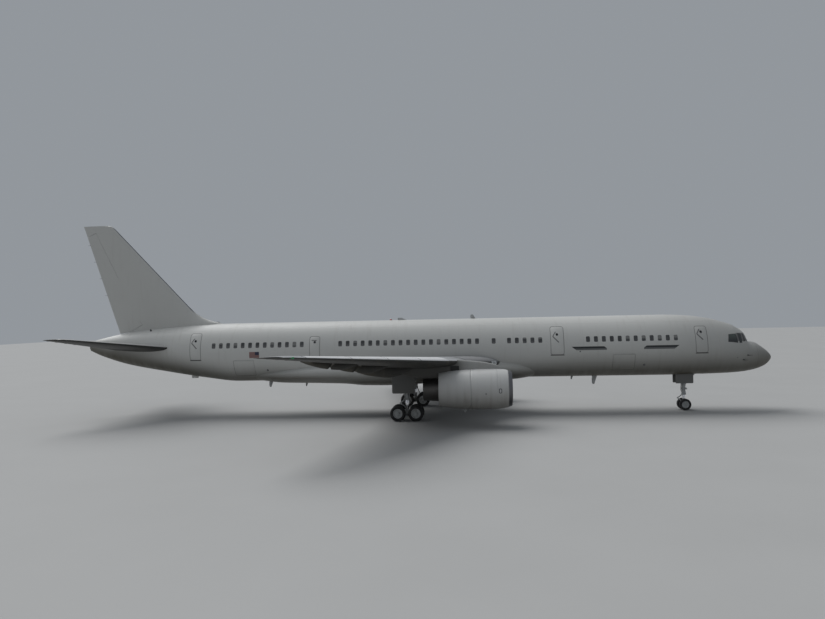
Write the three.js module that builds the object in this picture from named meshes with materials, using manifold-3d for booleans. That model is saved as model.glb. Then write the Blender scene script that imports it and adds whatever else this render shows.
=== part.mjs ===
// Narrow-body twin-engined airliner, parked on its gear, at half its real size.
// The tables give the real aircraft in metres: stations aft of the nose tip, distances out from the
// centre line and heights above the ground. M turns them into the model's millimetres.
// The model's frame: +X to the nose, +Y to port, +Z up, the ground at Z = 0.
import * as THREE from 'three';
import { mergeVertices } from 'three/addons/utils/BufferGeometryUtils.js';
import Module from 'manifold-3d';

const wasm = await Module();
wasm.setup();

// Driving dimensions
const SCALE = 0.5;
const M = 1000 * SCALE;
const LENGTH = 47.32;
const SEAM = 0.3; // model millimetres between touching pieces
const AROUND = 28; // facets round the fuselage
const BELLY_AROUND = 24; // facets round the belly fairing
const BEYOND = { out: 3, height: 9 }; // clear of the fuselage on every side

const x = (station) => (LENGTH / 2 - station) * M;
const point = (station, out, height) => new THREE.Vector3(x(station), out * M, height * M);

// Fuselage sections: station, crown, keel, half width, height of the greatest width
const FUSELAGE = [
  [0.00, 3.50, 3.42, 0.04, 3.46],
  [0.10, 3.69, 3.21, 0.27, 3.46],
  [0.45, 4.03, 2.91, 0.60, 3.47],
  [1.05, 4.38, 2.67, 0.92, 3.52],
  [1.50, 4.50, 2.57, 1.11, 3.60],
  [1.80, 4.98, 2.52, 1.22, 3.68],
  [2.30, 5.46, 2.47, 1.37, 3.80],
  [3.01, 5.83, 2.43, 1.53, 3.96],
  [4.08, 6.12, 2.40, 1.69, 4.14],
  [5.30, 6.31, 2.38, 1.81, 4.28],
  [7.20, 6.40, 2.36, 1.88, 4.36],
  [36.00, 6.40, 2.36, 1.88, 4.36],
  [38.30, 6.37, 2.62, 1.79, 4.50],
  [41.30, 6.20, 3.11, 1.45, 4.68],
  [44.00, 5.90, 3.62, 0.98, 4.82],
  [46.00, 5.52, 4.24, 0.52, 4.90],
  [46.85, 5.28, 4.62, 0.30, 4.95],
];

// Fuselage pieces between production joints: name, forward station, aft station
const BARRELS = [
  ['nose_radome', -1, 1.15],
  ['fuselage_forward', 1.15, 15.60],
  ['fuselage_centre', 15.60, 28.60],
  ['fuselage_aft', 28.60, 44.30],
  ['tail_cone', 44.30, 50],
];

// Belly fairing round the wing root: station, top, keel, half width, height of the greatest width
const BELLY = [
  [15.20, 3.30, 2.50, 0.90, 2.90],
  [17.00, 3.70, 2.23, 1.93, 3.00],
  [19.50, 4.00, 2.15, 2.16, 3.10],
  [26.50, 4.00, 2.13, 2.18, 3.10],
  [30.00, 3.70, 2.13, 2.02, 3.00],
  [32.80, 3.30, 2.20, 1.70, 2.90],
  [35.20, 3.00, 2.50, 0.80, 2.80],
];

// Doors: name, side (+1 port), forward edge, aft edge, sill, head
const DOORS = [
  ['door_front_left', 1, 4.52, 5.36, 3.90, 5.68],
  ['door_front_right', -1, 4.58, 5.34, 3.90, 5.60],
  ['door_second_left', 1, 13.76, 14.60, 3.92, 5.74],
  ['door_second_right', -1, 13.76, 14.60, 3.92, 5.74],
  ['door_third_left', 1, 29.95, 30.63, 4.05, 5.40],
  ['door_third_right', -1, 29.95, 30.63, 4.05, 5.40],
  ['door_rear_left', 1, 38.20, 38.96, 3.95, 5.74],
  ['door_rear_right', -1, 38.20, 38.96, 3.95, 5.74],
];
const DOOR_THICK = 0.08;
const DOOR_CORNER = 0.14;
const DOOR_GAP = 2; // model millimetres

// Cargo doors low in the starboard side, hinged along their top edge: name, forward edge, aft edge
const CARGO_DOORS = [
  ['cargo_door_front', 9.20, 10.60],
  ['cargo_door_rear', 34.50, 35.90],
];
// How far they lean over, the heights of their sill and head square to that, and their hinge line
const CARGO = { lean: 35, sill: 2.965, head: 4.205, axisOut: 1.811, axisHeight: 3.87 };
// Model millimetres: the gap round a cargo door, and its hinge's knuckles and pins, which end that much
// short of the fuselage's knuckle, in a blind hole
const CARGO_GAP = 6;
const KNUCKLE = { radius: 14, length: 18, pin: 5, pinEnd: 5, holeEnd: 3 };
const GLASS = { from: 1.45, to: 3.08, low: 4.47, high: 5.06, thick: 0.05 };

// Wing sections: out, leading-edge station, chord, leading-edge height, incidence, thickness to chord
const WING = [
  [1.20, 17.64, 8.50, 3.39, 3.0, 0.135],
  [6.80, 20.74, 5.96, 3.88, 1.5, 0.112],
  [18.55, 27.24, 1.84, 4.91, -0.3, 0.095],
  [18.86, 27.50, 1.56, 4.94, -0.3, 0.085],
  [19.02, 27.86, 1.06, 4.96, -0.3, 0.065],
];
const WING_CAMBER = 0.006;

// Tailplane sections, in the same columns
const TAILPLANE = [
  [0.20, 39.80, 4.95, 4.63, 0.0, 0.100],
  [7.30, 44.22, 1.62, 5.61, 0.0, 0.090],
  [7.52, 44.42, 1.38, 5.64, 0.0, 0.080],
  [7.605, 44.70, 0.95, 5.65, 0.0, 0.060],
];

// Fin sections: height, leading-edge station, chord, greatest half thickness
const FIN = [
  [5.40, 36.00, 8.60, 0.34],
  [6.40, 37.20, 7.72, 0.34],
  [6.58, 37.90, 7.09, 0.335],
  [6.80, 38.55, 6.51, 0.33],
  [7.15, 39.14, 6.04, 0.32],
  [7.60, 39.62, 5.71, 0.305],
  [13.30, 44.98, 2.25, 0.125],
  [13.50, 45.22, 2.08, 0.115],
  [13.56, 45.45, 1.87, 0.100],
];

// Moving surfaces, for the port side: hinge stations and distances out, how far the hinge line lies from
// the mean line towards the lower skin (0 to 1), a length that reaches past the trailing edge, and the
// clearance round the nose and at the ends in model millimetres
const AILERON = { station: [27.67, 28.48], out: [15.25, 18.15], low: 0, depth: 1.2, gap: 19 };
const FLAP_OUTER = { station: [25.39, 27.52], out: [7.60, 14.85], low: 0.7, depth: 3.0, gap: 12 };
const FLAP_INNER = { station: [24.95, 25.12], out: [2.60, 6.60], low: 0.7, depth: 2.4, gap: 12 };
const ELEVATOR = { station: [43.54, 45.28], out: [1.20, 7.05], low: 0, depth: 1.8, gap: 19 };
const RUDDER = { station: [43.05, 46.42], height: [6.42, 13.05], depth: 3.2, gap: 19 };
const TAIL_CLEARANCE = 18; // model millimetres between the tail's moving surfaces and the fuselage
// Pins at the ends of a moving surface, in model millimetres, and the facets of their rods
const PIN_RADIUS = 7;
const PIN_PLAY = 0.7;
const PIN_REACH = 12;
const PIN_FACETS = 8;
const NOSE_FACETS = 12;

// Engine: centre, and radii along it as station, radius
const ENGINE = { station: 20, out: 6.48, height: 2.24 };
const INLET = [
  [18.35, 0.945], [18.35, 1.190], [17.95, 1.150], [17.66, 1.075], [17.48, 0.995], [17.53, 0.930],
  [17.75, 0.900], [18.35, 0.945],
];
const FAN_COWL = [
  [19.90, 0.945], [19.90, 1.190], [19.30, 1.205], [18.35, 1.190], [18.35, 0.945], [19.90, 0.945],
];
const REVERSER = [
  [21.79, 0.950], [21.79, 0.990], [21.10, 1.105], [20.45, 1.165], [19.90, 1.190], [19.90, 0.945],
  [21.79, 0.950],
];
const NOZZLE = [
  [22.72, 0.610], [22.72, 0.650], [21.70, 0.710], [20.10, 0.760], [20.10, 0.615], [22.72, 0.610],
];
const CORE = [
  [22.55, 0], [22.40, 0.06], [21.60, 0.40], [21.40, 0.608], [19.65, 0.608], [19.65, 0.943],
  [19.35, 0.943], [19.35, 0.20], [19.05, 0.20], [19.05, 0.05], [18.75, 0.05], [18.75, 0],
];
const SPINNER = [[19.02, 0], [19.02, 0.30], [18.72, 0.29], [18.50, 0.19], [18.36, 0.06], [18.33, 0]];
const FAN = { blades: 22, station: 18.87, root: 0.27, tip: 0.918, chord: 0.24, thick: 0.022 };
const BLADE_PITCH = { root: 12, tip: 58 }; // degrees from the fore-and-aft direction
const SHAFT_BORE = { radius: 0.051, from: 18.74, to: 19.10, facets: 20 };
const ENGINE_FACETS = 24;

// Pylon sections: station, top, bottom, half width
const PYLON = [
  [18.02, 3.46, 3.30, 0.03],
  [18.35, 3.64, 3.00, 0.13],
  [19.10, 3.83, 2.60, 0.19],
  [20.50, 3.97, 2.40, 0.21],
  [22.00, 4.00, 2.40, 0.21],
  [22.90, 4.00, 2.86, 0.19],
  [23.90, 3.95, 3.16, 0.12],
  [24.55, 3.80, 3.45, 0.03],
];
const PYLON_ROUND = 0.7; // how much of its half width rounds each corner

// Pods under the wing over the flap tracks: distance out, stations of the nose and tail, half width, depth
const FIXED_POD = [6.92, 23.20, 27.50, 0.18, 0.64];
const FLAP_PODS = [
  [10.00, 24.30, 28.10, 0.18, 0.48],
  [13.00, 25.50, 28.60, 0.15, 0.38],
];
// A pod's outline: fraction of its length, then of its half width and depth
const POD_SHAPE = [
  [0, 0.10, 0.03], [0.12, 0.62, 0.50], [0.38, 1, 1], [0.62, 0.92, 0.92], [0.85, 0.5, 0.55], [1, 0.08, 0.14],
];
const POD_SIDES = 8;
const POD_BURIED = 0.05;
const POD_LEAN = 34; // degrees; the flap turns through less

// Landing gear: where it stands and its wheels, two on an axle
const NOSE_GEAR = { station: 5.67, tyre: 0.390, spread: 0.290, width: 0.28, axle: 0.055 };
const MAIN_GEAR = {
  station: 23.96, out: 3.66, tyre: 0.508, spread: 0.432, width: 0.36, axle: 0.065, wheelbase: 1.143,
};
const WHEEL_FACETS = 14;
// A wheel's outline from its outer face to its inner one: fraction of the tyre's radius, then of its half
// width out from the middle of the wheel
const WHEEL_LINE = [
  [0, 0.70], [0.26, 0.65], [0.32, 0.35], [0.56, 0.60], [0.62, 0.96], [0.86, 1], [1, 0.45], [1, -0.45],
  [0.84, -1],
];
const HUB_FACE = -0.85;

// Nose gear: the leg in its well with a trunnion bar and a drag strut to a second bar, the steering fork
// whose stem turns in the leg's foot, and its doors; distances aft, out and up from the ground
const NOSE_WELL = { from: 4.60, to: 6.30, half: 0.30, below: 2, top: 3.05 };
const NOSE_LEG = { radius: 0.115, foot: 1.15, trunnion: 2.86, trunnionRadius: 0.07 };
const NOSE_STRUT = { forward: 0.98, low: 1.62, high: 2.72, radius: 0.05 };
const STEM = { radius: 0.07, low: 1.00, top: 1.44, roomTop: 1.45 };
const FORK = { radius: 0.085, collar: 0.15, housing: 0.10, housingHalf: 0.11 };
const NOSE_LINK = { aft: 0.08, upper: 1.06, lower: 0.52, reach: 0.34, half: 0.06 };
const NOSE_DOOR = { fore: 0.55, aft: 0.60, clear: 0.02, thick: 0.03, foot: 1.78, top: 2.60 };

// Main gear: the leg and its piston, a side brace inward and a drag brace forward, torque links, the bogie
// beam, and the strut door on two stays
const MAIN_LEG = { radius: 0.17, foot: 1.30, top: 3.6, piston: 0.115, pistonTop: 1.40 };
const SIDE_BRACE = { inward: 1.62, low: 1.70, high: 2.78, radius: 0.07 };
const DRAG_BRACE = { forward: 1.15, low: 1.75, high: 3.5, radius: 0.06 };
const MAIN_LINK = { aft: 0.12, upper: 1.42, lower: 0.86, reach: 0.34, half: 0.09 };
const LINK_BAR = { pin: 0.045, arm: 0.035, armEnd: 0.028, armFacets: 6 };
const BEAM = { radius: 0.13, socket: 0.16, rise: 0.05, housing: 0.15, housingHalf: 0.17 };
const STRUT_DOOR = { fore: 0.57, aft: 0.88, inner: 0.62, outer: 0.67, foot: 1.78, top: 3.45 };
const DOOR_STAY = { heights: [2.05, 2.75], radius: 0.03, into: 0.01 };
const LEG_FACETS = 10;
const BORE_FACETS = 16;

// Flat pads for jacks, and the towing lug on the nose gear
const WING_PAD = { station: 22.60, out: 5.00, foot: 3.24, top: 3.46, radius: 0.07 };
const NOSE_PAD = { station: 7.90, foot: 2.32, top: 2.50, radius: 0.07 };
const TOW_LUG = { reach: 0.22, half: 0.06, low: 0.30, high: 0.46 };

// Clearance of the pylon and gear from the wing, whose skin leans, in model millimetres
const WING_SEAM = 1.3 * SEAM;
const DOOR_CLEARANCE = 6; // model millimetres from the strut door up to the wing and its flap

const paint = new THREE.MeshStandardMaterial({ color: 0xdcdcd8, roughness: 0.45, metalness: 0.0 });
const grey = new THREE.MeshStandardMaterial({ color: 0x8e9092, roughness: 0.5, metalness: 0.0 });
const bare = new THREE.MeshStandardMaterial({ color: 0xb9babb, roughness: 0.25, metalness: 1.0 });
const hot = new THREE.MeshStandardMaterial({ color: 0x4a4642, roughness: 0.45, metalness: 1.0 });
const titanium = new THREE.MeshStandardMaterial({ color: 0x6e7074, roughness: 0.35, metalness: 1.0 });
const rubber = new THREE.MeshStandardMaterial({ color: 0x161616, roughness: 0.85, metalness: 0.0 });
const glass = new THREE.MeshStandardMaterial({ color: 0x14181c, roughness: 0.1, metalness: 0.0 });

const airliner = new THREE.Group();

// Closed geometry to a solid: shared vertices merged, flat triangles dropped, faces turned outward
function solid(geometry) {
  const plain = geometry.clone();
  for (const name of Object.keys(plain.attributes)) {
    if (name !== 'position') plain.deleteAttribute(name);
  }
  const merged = mergeVertices(plain, 1e-3);
  const place = merged.attributes.position;
  const corner = (i) => new THREE.Vector3().fromBufferAttribute(place, i);
  let triangles = [];
  let volume = 0;
  for (let i = 0; i < merged.index.count; i += 3) {
    const [a, b, c] = [0, 1, 2].map((k) => merged.index.getX(i + k));
    if (a === b || b === c || c === a) continue;
    triangles.push([a, b, c]);
    volume += corner(a).dot(corner(b).cross(corner(c)));
  }
  if (volume < 0) triangles = triangles.map(([a, b, c]) => [a, c, b]);
  return new wasm.Manifold(new wasm.Mesh({
    numProp: 3,
    vertProperties: new Float32Array(place.array),
    triVerts: new Uint32Array(triangles.flat()),
  }));
}

function geometryOf(body) {
  const mesh = body.getMesh();
  const geometry = new THREE.BufferGeometry();
  geometry.setAttribute('position', new THREE.BufferAttribute(new Float32Array(mesh.vertProperties), 3));
  geometry.setIndex(new THREE.BufferAttribute(new Uint32Array(mesh.triVerts), 1));
  geometry.computeVertexNormals();
  return geometry;
}

function mirrored(geometry) {
  const twin = geometry.clone().scale(1, -1, 1);
  const order = twin.index;
  for (let i = 0; i < order.count; i += 3) {
    const second = order.getX(i + 1);
    order.setX(i + 1, order.getX(i + 2));
    order.setX(i + 2, second);
  }
  twin.computeVertexNormals();
  return twin;
}

function add(name, body, material, parent = airliner) {
  const mesh = new THREE.Mesh(geometryOf(body), material);
  mesh.name = name;
  parent.add(mesh);
  return mesh;
}

// The port piece and its mirror image on the starboard side
function addPair(name, body, material) {
  const left = add(`${name}_left`, body, material);
  const right = new THREE.Mesh(mirrored(left.geometry), material);
  right.name = `${name}_right`;
  airliner.add(right);
}

// Rings of points, one after another, skinned and closed at both ends; the diagonals of the second half
// of each ring mirror those of the first, so that both sides of the fuselage are alike
function loft(rings) {
  const count = rings[0].length;
  const points = rings.flat();
  const triangles = [];
  for (let r = 0; r < rings.length - 1; r += 1) {
    for (let i = 0; i < count; i += 1) {
      const a = r * count + i;
      const b = r * count + ((i + 1) % count);
      const mirrorSide = i >= count / 2;
      if (mirrorSide) triangles.push(a, b, a + count, b, b + count, a + count);
      else triangles.push(a, b, b + count, a, b + count, a + count);
    }
  }
  for (const [ring, turn] of [[rings[0], 1], [rings[rings.length - 1], -1]]) {
    const first = points.indexOf(ring[0]);
    const middle = ring.reduce((sum, p) => sum.add(p), new THREE.Vector3()).divideScalar(count);
    points.push(middle);
    for (let i = 0; i < count; i += 1) {
      const a = first + i;
      const b = first + ((i + 1) % count);
      triangles.push(...(turn > 0 ? [points.length - 1, b, a] : [points.length - 1, a, b]));
    }
  }
  const geometry = new THREE.BufferGeometry().setFromPoints(points);
  geometry.setIndex(triangles);
  return solid(geometry);
}

// An egg-shaped ring across the fuselage; grow is in model millimetres
function bodyRing([station, top, bottom, half, waist], grow, count = AROUND) {
  const extra = grow / M;
  return Array.from({ length: count }, (_, i) => {
    const angle = (i / count) * 2 * Math.PI;
    const rise = Math.cos(angle) > 0 ? top - waist + extra : waist - bottom + extra;
    return point(station, (half + extra) * Math.sin(angle), waist + rise * Math.cos(angle));
  });
}

const hull = (table, grow = 0, count = AROUND) => loft(table.map((row) => bodyRing(row, grow, count)));

// Fractions of the chord where the wing section has a point, from nose to tail
const CHORD_STEPS = [0, 0.01, 0.045, 0.13, 0.28, 0.48, 0.68, 0.86, 1];
const TAIL_HALF = 1.5; // model millimetres

function halfThickness(along) {
  const curve = 0.2969 * Math.sqrt(along) - 0.126 * along - 0.3516 * along ** 2;
  return 5 * (curve + 0.2843 * along ** 3 - 0.1036 * along ** 4);
}

// Points round a wing section in chord lengths: over the top to the tail and back underneath
function sectionPoints(ratio, camber, chord) {
  const tail = TAIL_HALF / M / chord;
  const at = (along, side) => {
    const lift = camber * 4 * along * (1 - along);
    return [along, lift + side * (halfThickness(along) * ratio + tail * along)];
  };
  const over = CHORD_STEPS.map((along) => at(along, 1));
  const under = CHORD_STEPS.slice(1).reverse().map((along) => at(along, -1));
  return [...over, ...under];
}

function wingRing([out, station, chord, height, incidence, ratio], camber, grow) {
  const tilt = THREE.MathUtils.degToRad(incidence);
  const extra = grow / M;
  return sectionPoints(ratio, camber, chord).map(([along, lift], i) => {
    const side = i < CHORD_STEPS.length ? 1 : -1;
    const back = along * chord + (along === 0 ? -extra : 0) + (along === 1 ? extra : 0);
    const up = lift * chord + (along === 0 ? 0 : side * extra);
    return point(
      station + back * Math.cos(tilt) + up * Math.sin(tilt),
      out,
      height - back * Math.sin(tilt) + up * Math.cos(tilt),
    );
  });
}

const lifting = (table, camber, grow = 0) => loft(table.map((row) => wingRing(row, camber, grow)));

// Height of the wing's lower skin, level with its tail edge beyond it
function underside(out, station) {
  const [, nose, chord, height, incidence, ratio] = rowAt(WING, out);
  const along = Math.min(1, (station - nose) / chord);
  const lift = (WING_CAMBER * 4 * along * (1 - along) - halfThickness(along) * ratio) * chord;
  return height - along * chord * Math.tan(THREE.MathUtils.degToRad(incidence)) + lift;
}

// A pod under the wing, its top inside the wing
function pod([out, nose, tail, half, depth]) {
  return loft(POD_SHAPE.map(([along, width, deep]) => {
    const station = nose + (tail - nose) * along;
    const rise = (depth * deep) / 2;
    const middle = underside(out, station) + POD_BURIED - rise;
    return Array.from({ length: POD_SIDES }, (_, i) => {
      const angle = ((i + 0.5) / POD_SIDES) * 2 * Math.PI;
      return point(station, out + half * width * Math.sin(angle), middle + rise * Math.cos(angle));
    });
  }));
}

function finRing([height, station, chord, half]) {
  return sectionPoints(half * 2 / chord, 0, chord).map(([along, side]) => (
    point(station + along * chord, side * chord, height)
  ));
}

function box(low, high) {
  const size = new THREE.Vector3().subVectors(high, low);
  const shape = new THREE.BoxGeometry(Math.abs(size.x), Math.abs(size.y), Math.abs(size.z));
  const middle = new THREE.Vector3().addVectors(low, high).divideScalar(2);
  return solid(shape.translate(middle.x, middle.y, middle.z));
}

// A cylinder or cone between two points in space
function rod(from, to, radius, radiusTo = radius, facets = 8) {
  const along = new THREE.Vector3().subVectors(to, from);
  const shape = new THREE.CylinderGeometry(radiusTo, radius, along.length(), facets);
  const way = along.clone().normalize();
  const turn = new THREE.Quaternion().setFromUnitVectors(THREE.Object3D.DEFAULT_UP, way);
  const middle = new THREE.Vector3().addVectors(from, to).divideScalar(2);
  return solid(shape.applyQuaternion(turn).translate(middle.x, middle.y, middle.z));
}

// A solid of revolution about the fuselage's direction, from stations and radii, round a given centre
function revolved(profile, centre, facets = ENGINE_FACETS, grow = 0) {
  const points = profile.map(([station, radius]) => (
    new THREE.Vector2(radius === 0 ? 0 : radius * M + grow, x(station))
  ));
  const shape = new THREE.LatheGeometry(points, facets).rotateZ(-Math.PI / 2).rotateX(Math.PI / facets);
  return solid(shape.translate(0, centre.out * M, centre.height * M));
}

// The row of a table at a given first column, between its neighbours
function rowAt(table, first) {
  const after = Math.max(1, table.findIndex((row) => row[0] >= first));
  const [low, high] = [table[after - 1], table[after]];
  return low.map((value, i) => value + (high[i] - value) * (first - low[0]) / (high[0] - low[0]));
}

// Hinge line of a wing or tailplane surface: its two ends, with the radius from it to the upper skin
function wingHinge(table, camber, { station, out, low }) {
  return out.map((place, i) => {
    const [, nose, chord, height, incidence, ratio] = rowAt(table, place);
    const along = (station[i] - nose) / chord;
    const half = (halfThickness(along) * ratio) * chord;
    const up = camber * 4 * along * (1 - along) * chord - low * half;
    const drop = (station[i] - nose) * Math.tan(THREE.MathUtils.degToRad(incidence));
    return { at: point(station[i], place, height - drop + up), radius: (1 + low) * half * M };
  });
}

// Hinge line of the rudder
function finHinge({ station, height }) {
  return height.map((level, i) => {
    const [, nose, chord, half] = rowAt(FIN, level);
    const radius = halfThickness((station[i] - nose) / chord) * 2 * half * M;
    return { at: point(station[i], 0, level), radius };
  });
}

// Splits a moving surface off its host: what lies behind the hinge line, with a round nose about it,
// and a pin at each end that turns in the host; pods under it are split too, the moving part leaning back
function hinged(host, [{ at: a, radius: radiusA }, { at: b, radius: radiusB }], { depth, gap }, pods = []) {
  const along = new THREE.Vector3().subVectors(b, a).normalize();
  const aft = new THREE.Vector3(-1, 0, 0).addScaledVector(along, along.x).normalize();
  const up = new THREE.Vector3().crossVectors(along, aft);
  const zone = (ends, nose) => {
    const length = a.distanceTo(b) + 2 * ends;
    const slab = new THREE.BoxGeometry(length, depth * M, depth * M).translate(0, depth * M / 2, 0);
    slab.applyMatrix4(new THREE.Matrix4().makeBasis(along, aft, up));
    const middle = new THREE.Vector3().addVectors(a, b).divideScalar(2);
    const start = a.clone().addScaledVector(along, -ends);
    const end = b.clone().addScaledVector(along, ends);
    const roll = rod(start, end, radiusA + nose, radiusB + nose, NOSE_FACETS);
    return solid(slab.translate(middle.x, middle.y, middle.z)).add(roll);
  };
  const pin = (radius, reach) => [[a, -1], [b, 1]].map(([end, way]) => rod(
    end.clone().addScaledVector(along, -way * PIN_REACH),
    end.clone().addScaledVector(along, way * (gap + reach)),
    radius,
    radius,
    PIN_FACETS,
  ));
  const lean = THREE.MathUtils.degToRad(POD_LEAN);
  const back = aft.clone().multiplyScalar(Math.cos(lean)).addScaledVector(up, Math.sin(lean));
  const behind = new THREE.BoxGeometry(2 * a.distanceTo(b), depth * M, 2 * depth * M);
  behind.translate(0, depth * M / 2, 0);
  behind.applyMatrix4(new THREE.Matrix4().makeBasis(along, back, along.clone().cross(back)));
  behind.translate(a.x / 2 + b.x / 2, a.y / 2 + b.y / 2, a.z / 2 + b.z / 2);
  let surface = host.intersect(zone(0, 0));
  let rest = host;
  for (const whole of pods) {
    surface = surface.add(whole.intersect(zone(0, 0)).intersect(solid(behind)));
    rest = rest.add(whole);
  }
  rest = rest.subtract(zone(gap, gap));
  for (const stub of pin(PIN_RADIUS, PIN_REACH)) surface = surface.add(stub);
  for (const hole of pin(PIN_RADIUS + PIN_PLAY, PIN_REACH + 1)) rest = rest.subtract(hole);
  return [surface, rest];
}

// A door-shaped bar across the fuselage side, from the centre plane outward, or one that leans down and
// starts nearer the skin
const BAR = { from: -0.1, leaningFrom: 1.6, depth: 2.4, segments: 2 };
function doorBar(side, from, to, low, high, grow, lean = 0) {
  const corner = DOOR_CORNER;
  const extra = grow / M;
  const left = x(to + extra) / M;
  const right = x(from - extra) / M;
  const outline = new THREE.Shape();
  outline.moveTo(left + corner, low - extra);
  outline.lineTo(right - corner, low - extra);
  outline.quadraticCurveTo(right, low - extra, right, low - extra + corner);
  outline.lineTo(right, high + extra - corner);
  outline.quadraticCurveTo(right, high + extra, right - corner, high + extra);
  outline.lineTo(left + corner, high + extra);
  outline.quadraticCurveTo(left, high + extra, left, high + extra - corner);
  outline.lineTo(left, low - extra + corner);
  outline.quadraticCurveTo(left, low - extra, left + corner, low - extra);
  const shape = { depth: BAR.depth, bevelEnabled: false, curveSegments: BAR.segments };
  const bar = new THREE.ExtrudeGeometry(outline, shape);
  const inner = lean > 0 ? BAR.leaningFrom : BAR.from;
  bar.rotateX(Math.PI / 2).translate(0, side > 0 ? BAR.depth - BAR.from : inner, 0).scale(M, M, M);
  return solid(bar.rotateX(THREE.MathUtils.degToRad(lean)));
}

// Fuselage, with pockets for the doors, the cockpit glass and the nose wheel well
const skin = hull(FUSELAGE);
const doorCore = hull(FUSELAGE, -DOOR_THICK * M);
const doorFloor = hull(FUSELAGE, -DOOR_THICK * M - SEAM);
const glassCore = hull(FUSELAGE, -GLASS.thick * M);
const glassFloor = hull(FUSELAGE, -GLASS.thick * M - SEAM);
let shell = skin;

for (const [name, side, from, to, low, high] of DOORS) {
  add(name, skin.subtract(doorCore).intersect(doorBar(side, from, to, low, high, 0)), paint);
  shell = shell.subtract(doorBar(side, from, to, low, high, DOOR_GAP).subtract(doorFloor));
}

// Cargo doors with a knuckle along the head and a pin at each end of it, in knuckles of the fuselage
const cargoFloor = hull(FUSELAGE, -DOOR_THICK * M - CARGO_GAP);
for (const [name, from, to] of CARGO_DOORS) {
  const onAxis = (station) => point(station, -CARGO.axisOut, CARGO.axisHeight);
  const bar = (grow) => doorBar(-1, from, to, CARGO.sill, CARGO.head, grow, CARGO.lean);
  const ends = [[onAxis(from), new THREE.Vector3(1, 0, 0)], [onAxis(to), new THREE.Vector3(-1, 0, 0)]];
  const knuckle = (first, last) => rod(first, last, KNUCKLE.radius, KNUCKLE.radius, NOSE_FACETS);
  const pin = (first, last, radius) => rod(first, last, radius, radius, PIN_FACETS);
  const room = KNUCKLE.radius + CARGO_GAP;
  let leaf = skin.subtract(doorCore).intersect(bar(0)).add(knuckle(onAxis(from), onAxis(to)));
  const [start, end] = ends.map(([place, way]) => place.clone().addScaledVector(way, CARGO_GAP));
  shell = shell.subtract(bar(CARGO_GAP).subtract(cargoFloor));
  shell = shell.subtract(rod(start, end, room, room, BORE_FACETS));
  for (const [place, way] of ends) {
    const out = (distance) => place.clone().addScaledVector(way, distance);
    const tip = CARGO_GAP + KNUCKLE.length;
    shell = shell.add(knuckle(out(CARGO_GAP), out(tip)));
    shell = shell.subtract(pin(out(CARGO_GAP - 1), out(tip - KNUCKLE.holeEnd), KNUCKLE.pin + PIN_PLAY));
    leaf = leaf.add(pin(out(-PIN_REACH), out(tip - KNUCKLE.pinEnd), KNUCKLE.pin));
  }
  add(name, leaf, paint);
}

const paneBox = (grow) => box(
  point(GLASS.from - grow, -BEYOND.out, GLASS.low - grow),
  point(GLASS.to + grow, BEYOND.out, GLASS.high + grow),
);
add('cockpit_glazing', skin.subtract(glassCore).intersect(paneBox(0)), glass);
shell = shell.subtract(paneBox(SEAM / M).subtract(glassFloor));

const well = box(
  point(NOSE_WELL.from, -NOSE_WELL.half, NOSE_WELL.below),
  point(NOSE_WELL.to, NOSE_WELL.half, NOSE_WELL.top),
);
shell = shell.subtract(well);

shell = shell.add(rod(
  point(NOSE_PAD.station, 0, NOSE_PAD.foot),
  point(NOSE_PAD.station, 0, NOSE_PAD.top),
  NOSE_PAD.radius * M,
));

for (const [name, from, to] of BARRELS) {
  const first = point(from + SEAM / 2 / M, -BEYOND.out, 0);
  const last = point(to - SEAM / 2 / M, BEYOND.out, BEYOND.height);
  add(name, shell.intersect(box(first, last)), paint);
}

// Belly fairing
const skinGrown = hull(FUSELAGE, SEAM);
add('belly_fairing', hull(BELLY, 0, BELLY_AROUND).subtract(skinGrown), paint);
const bellyGrown = hull(BELLY, SEAM, BELLY_AROUND);

// Wings with their flaps and ailerons
let wing = lifting(WING, WING_CAMBER).subtract(skinGrown).subtract(bellyGrown);
const wingGrown = lifting(WING, WING_CAMBER, WING_SEAM);
const MOVING = [
  ['flap_inner', FLAP_INNER, []],
  ['flap_outer', FLAP_OUTER, FLAP_PODS.map(pod)],
  ['aileron', AILERON, []],
];
for (const [name, place, pods] of MOVING) {
  const [surface, rest] = hinged(wing, wingHinge(WING, WING_CAMBER, place), place, pods);
  wing = rest;
  addPair(name, surface, paint);
}
wing = wing.add(pod(FIXED_POD)).add(rod(
  point(WING_PAD.station, WING_PAD.out, WING_PAD.foot),
  point(WING_PAD.station, WING_PAD.out, WING_PAD.top),
  WING_PAD.radius * M,
));
addPair('wing', wing, grey);

// Tailplane with its elevators
const tailplane = lifting(TAILPLANE, 0).subtract(skinGrown);
const [elevator, tailplaneRest] = hinged(tailplane, wingHinge(TAILPLANE, 0, ELEVATOR), ELEVATOR);
const tailRoom = hull(FUSELAGE, TAIL_CLEARANCE);
addPair('elevator', elevator.subtract(tailRoom), paint);
addPair('tailplane', tailplaneRest, paint);

// Fin with its rudder
const finWhole = loft(FIN.map(finRing)).subtract(skinGrown);
const [rudder, finRest] = hinged(finWhole, finHinge(RUDDER), RUDDER);
add('rudder', rudder.subtract(tailRoom), paint);
add('fin', finRest, paint);

// Pylons
function pylonRing([station, top, bottom, half]) {
  const round = Math.min(half, (top - bottom) / 2) * PYLON_ROUND;
  const corners = [
    [half, bottom + round], [half, top - round], [half - round, top], [round - half, top],
    [-half, top - round], [-half, bottom + round], [round - half, bottom], [half - round, bottom],
  ];
  return corners.map(([out, height]) => point(station, ENGINE.out + out, height));
}

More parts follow.
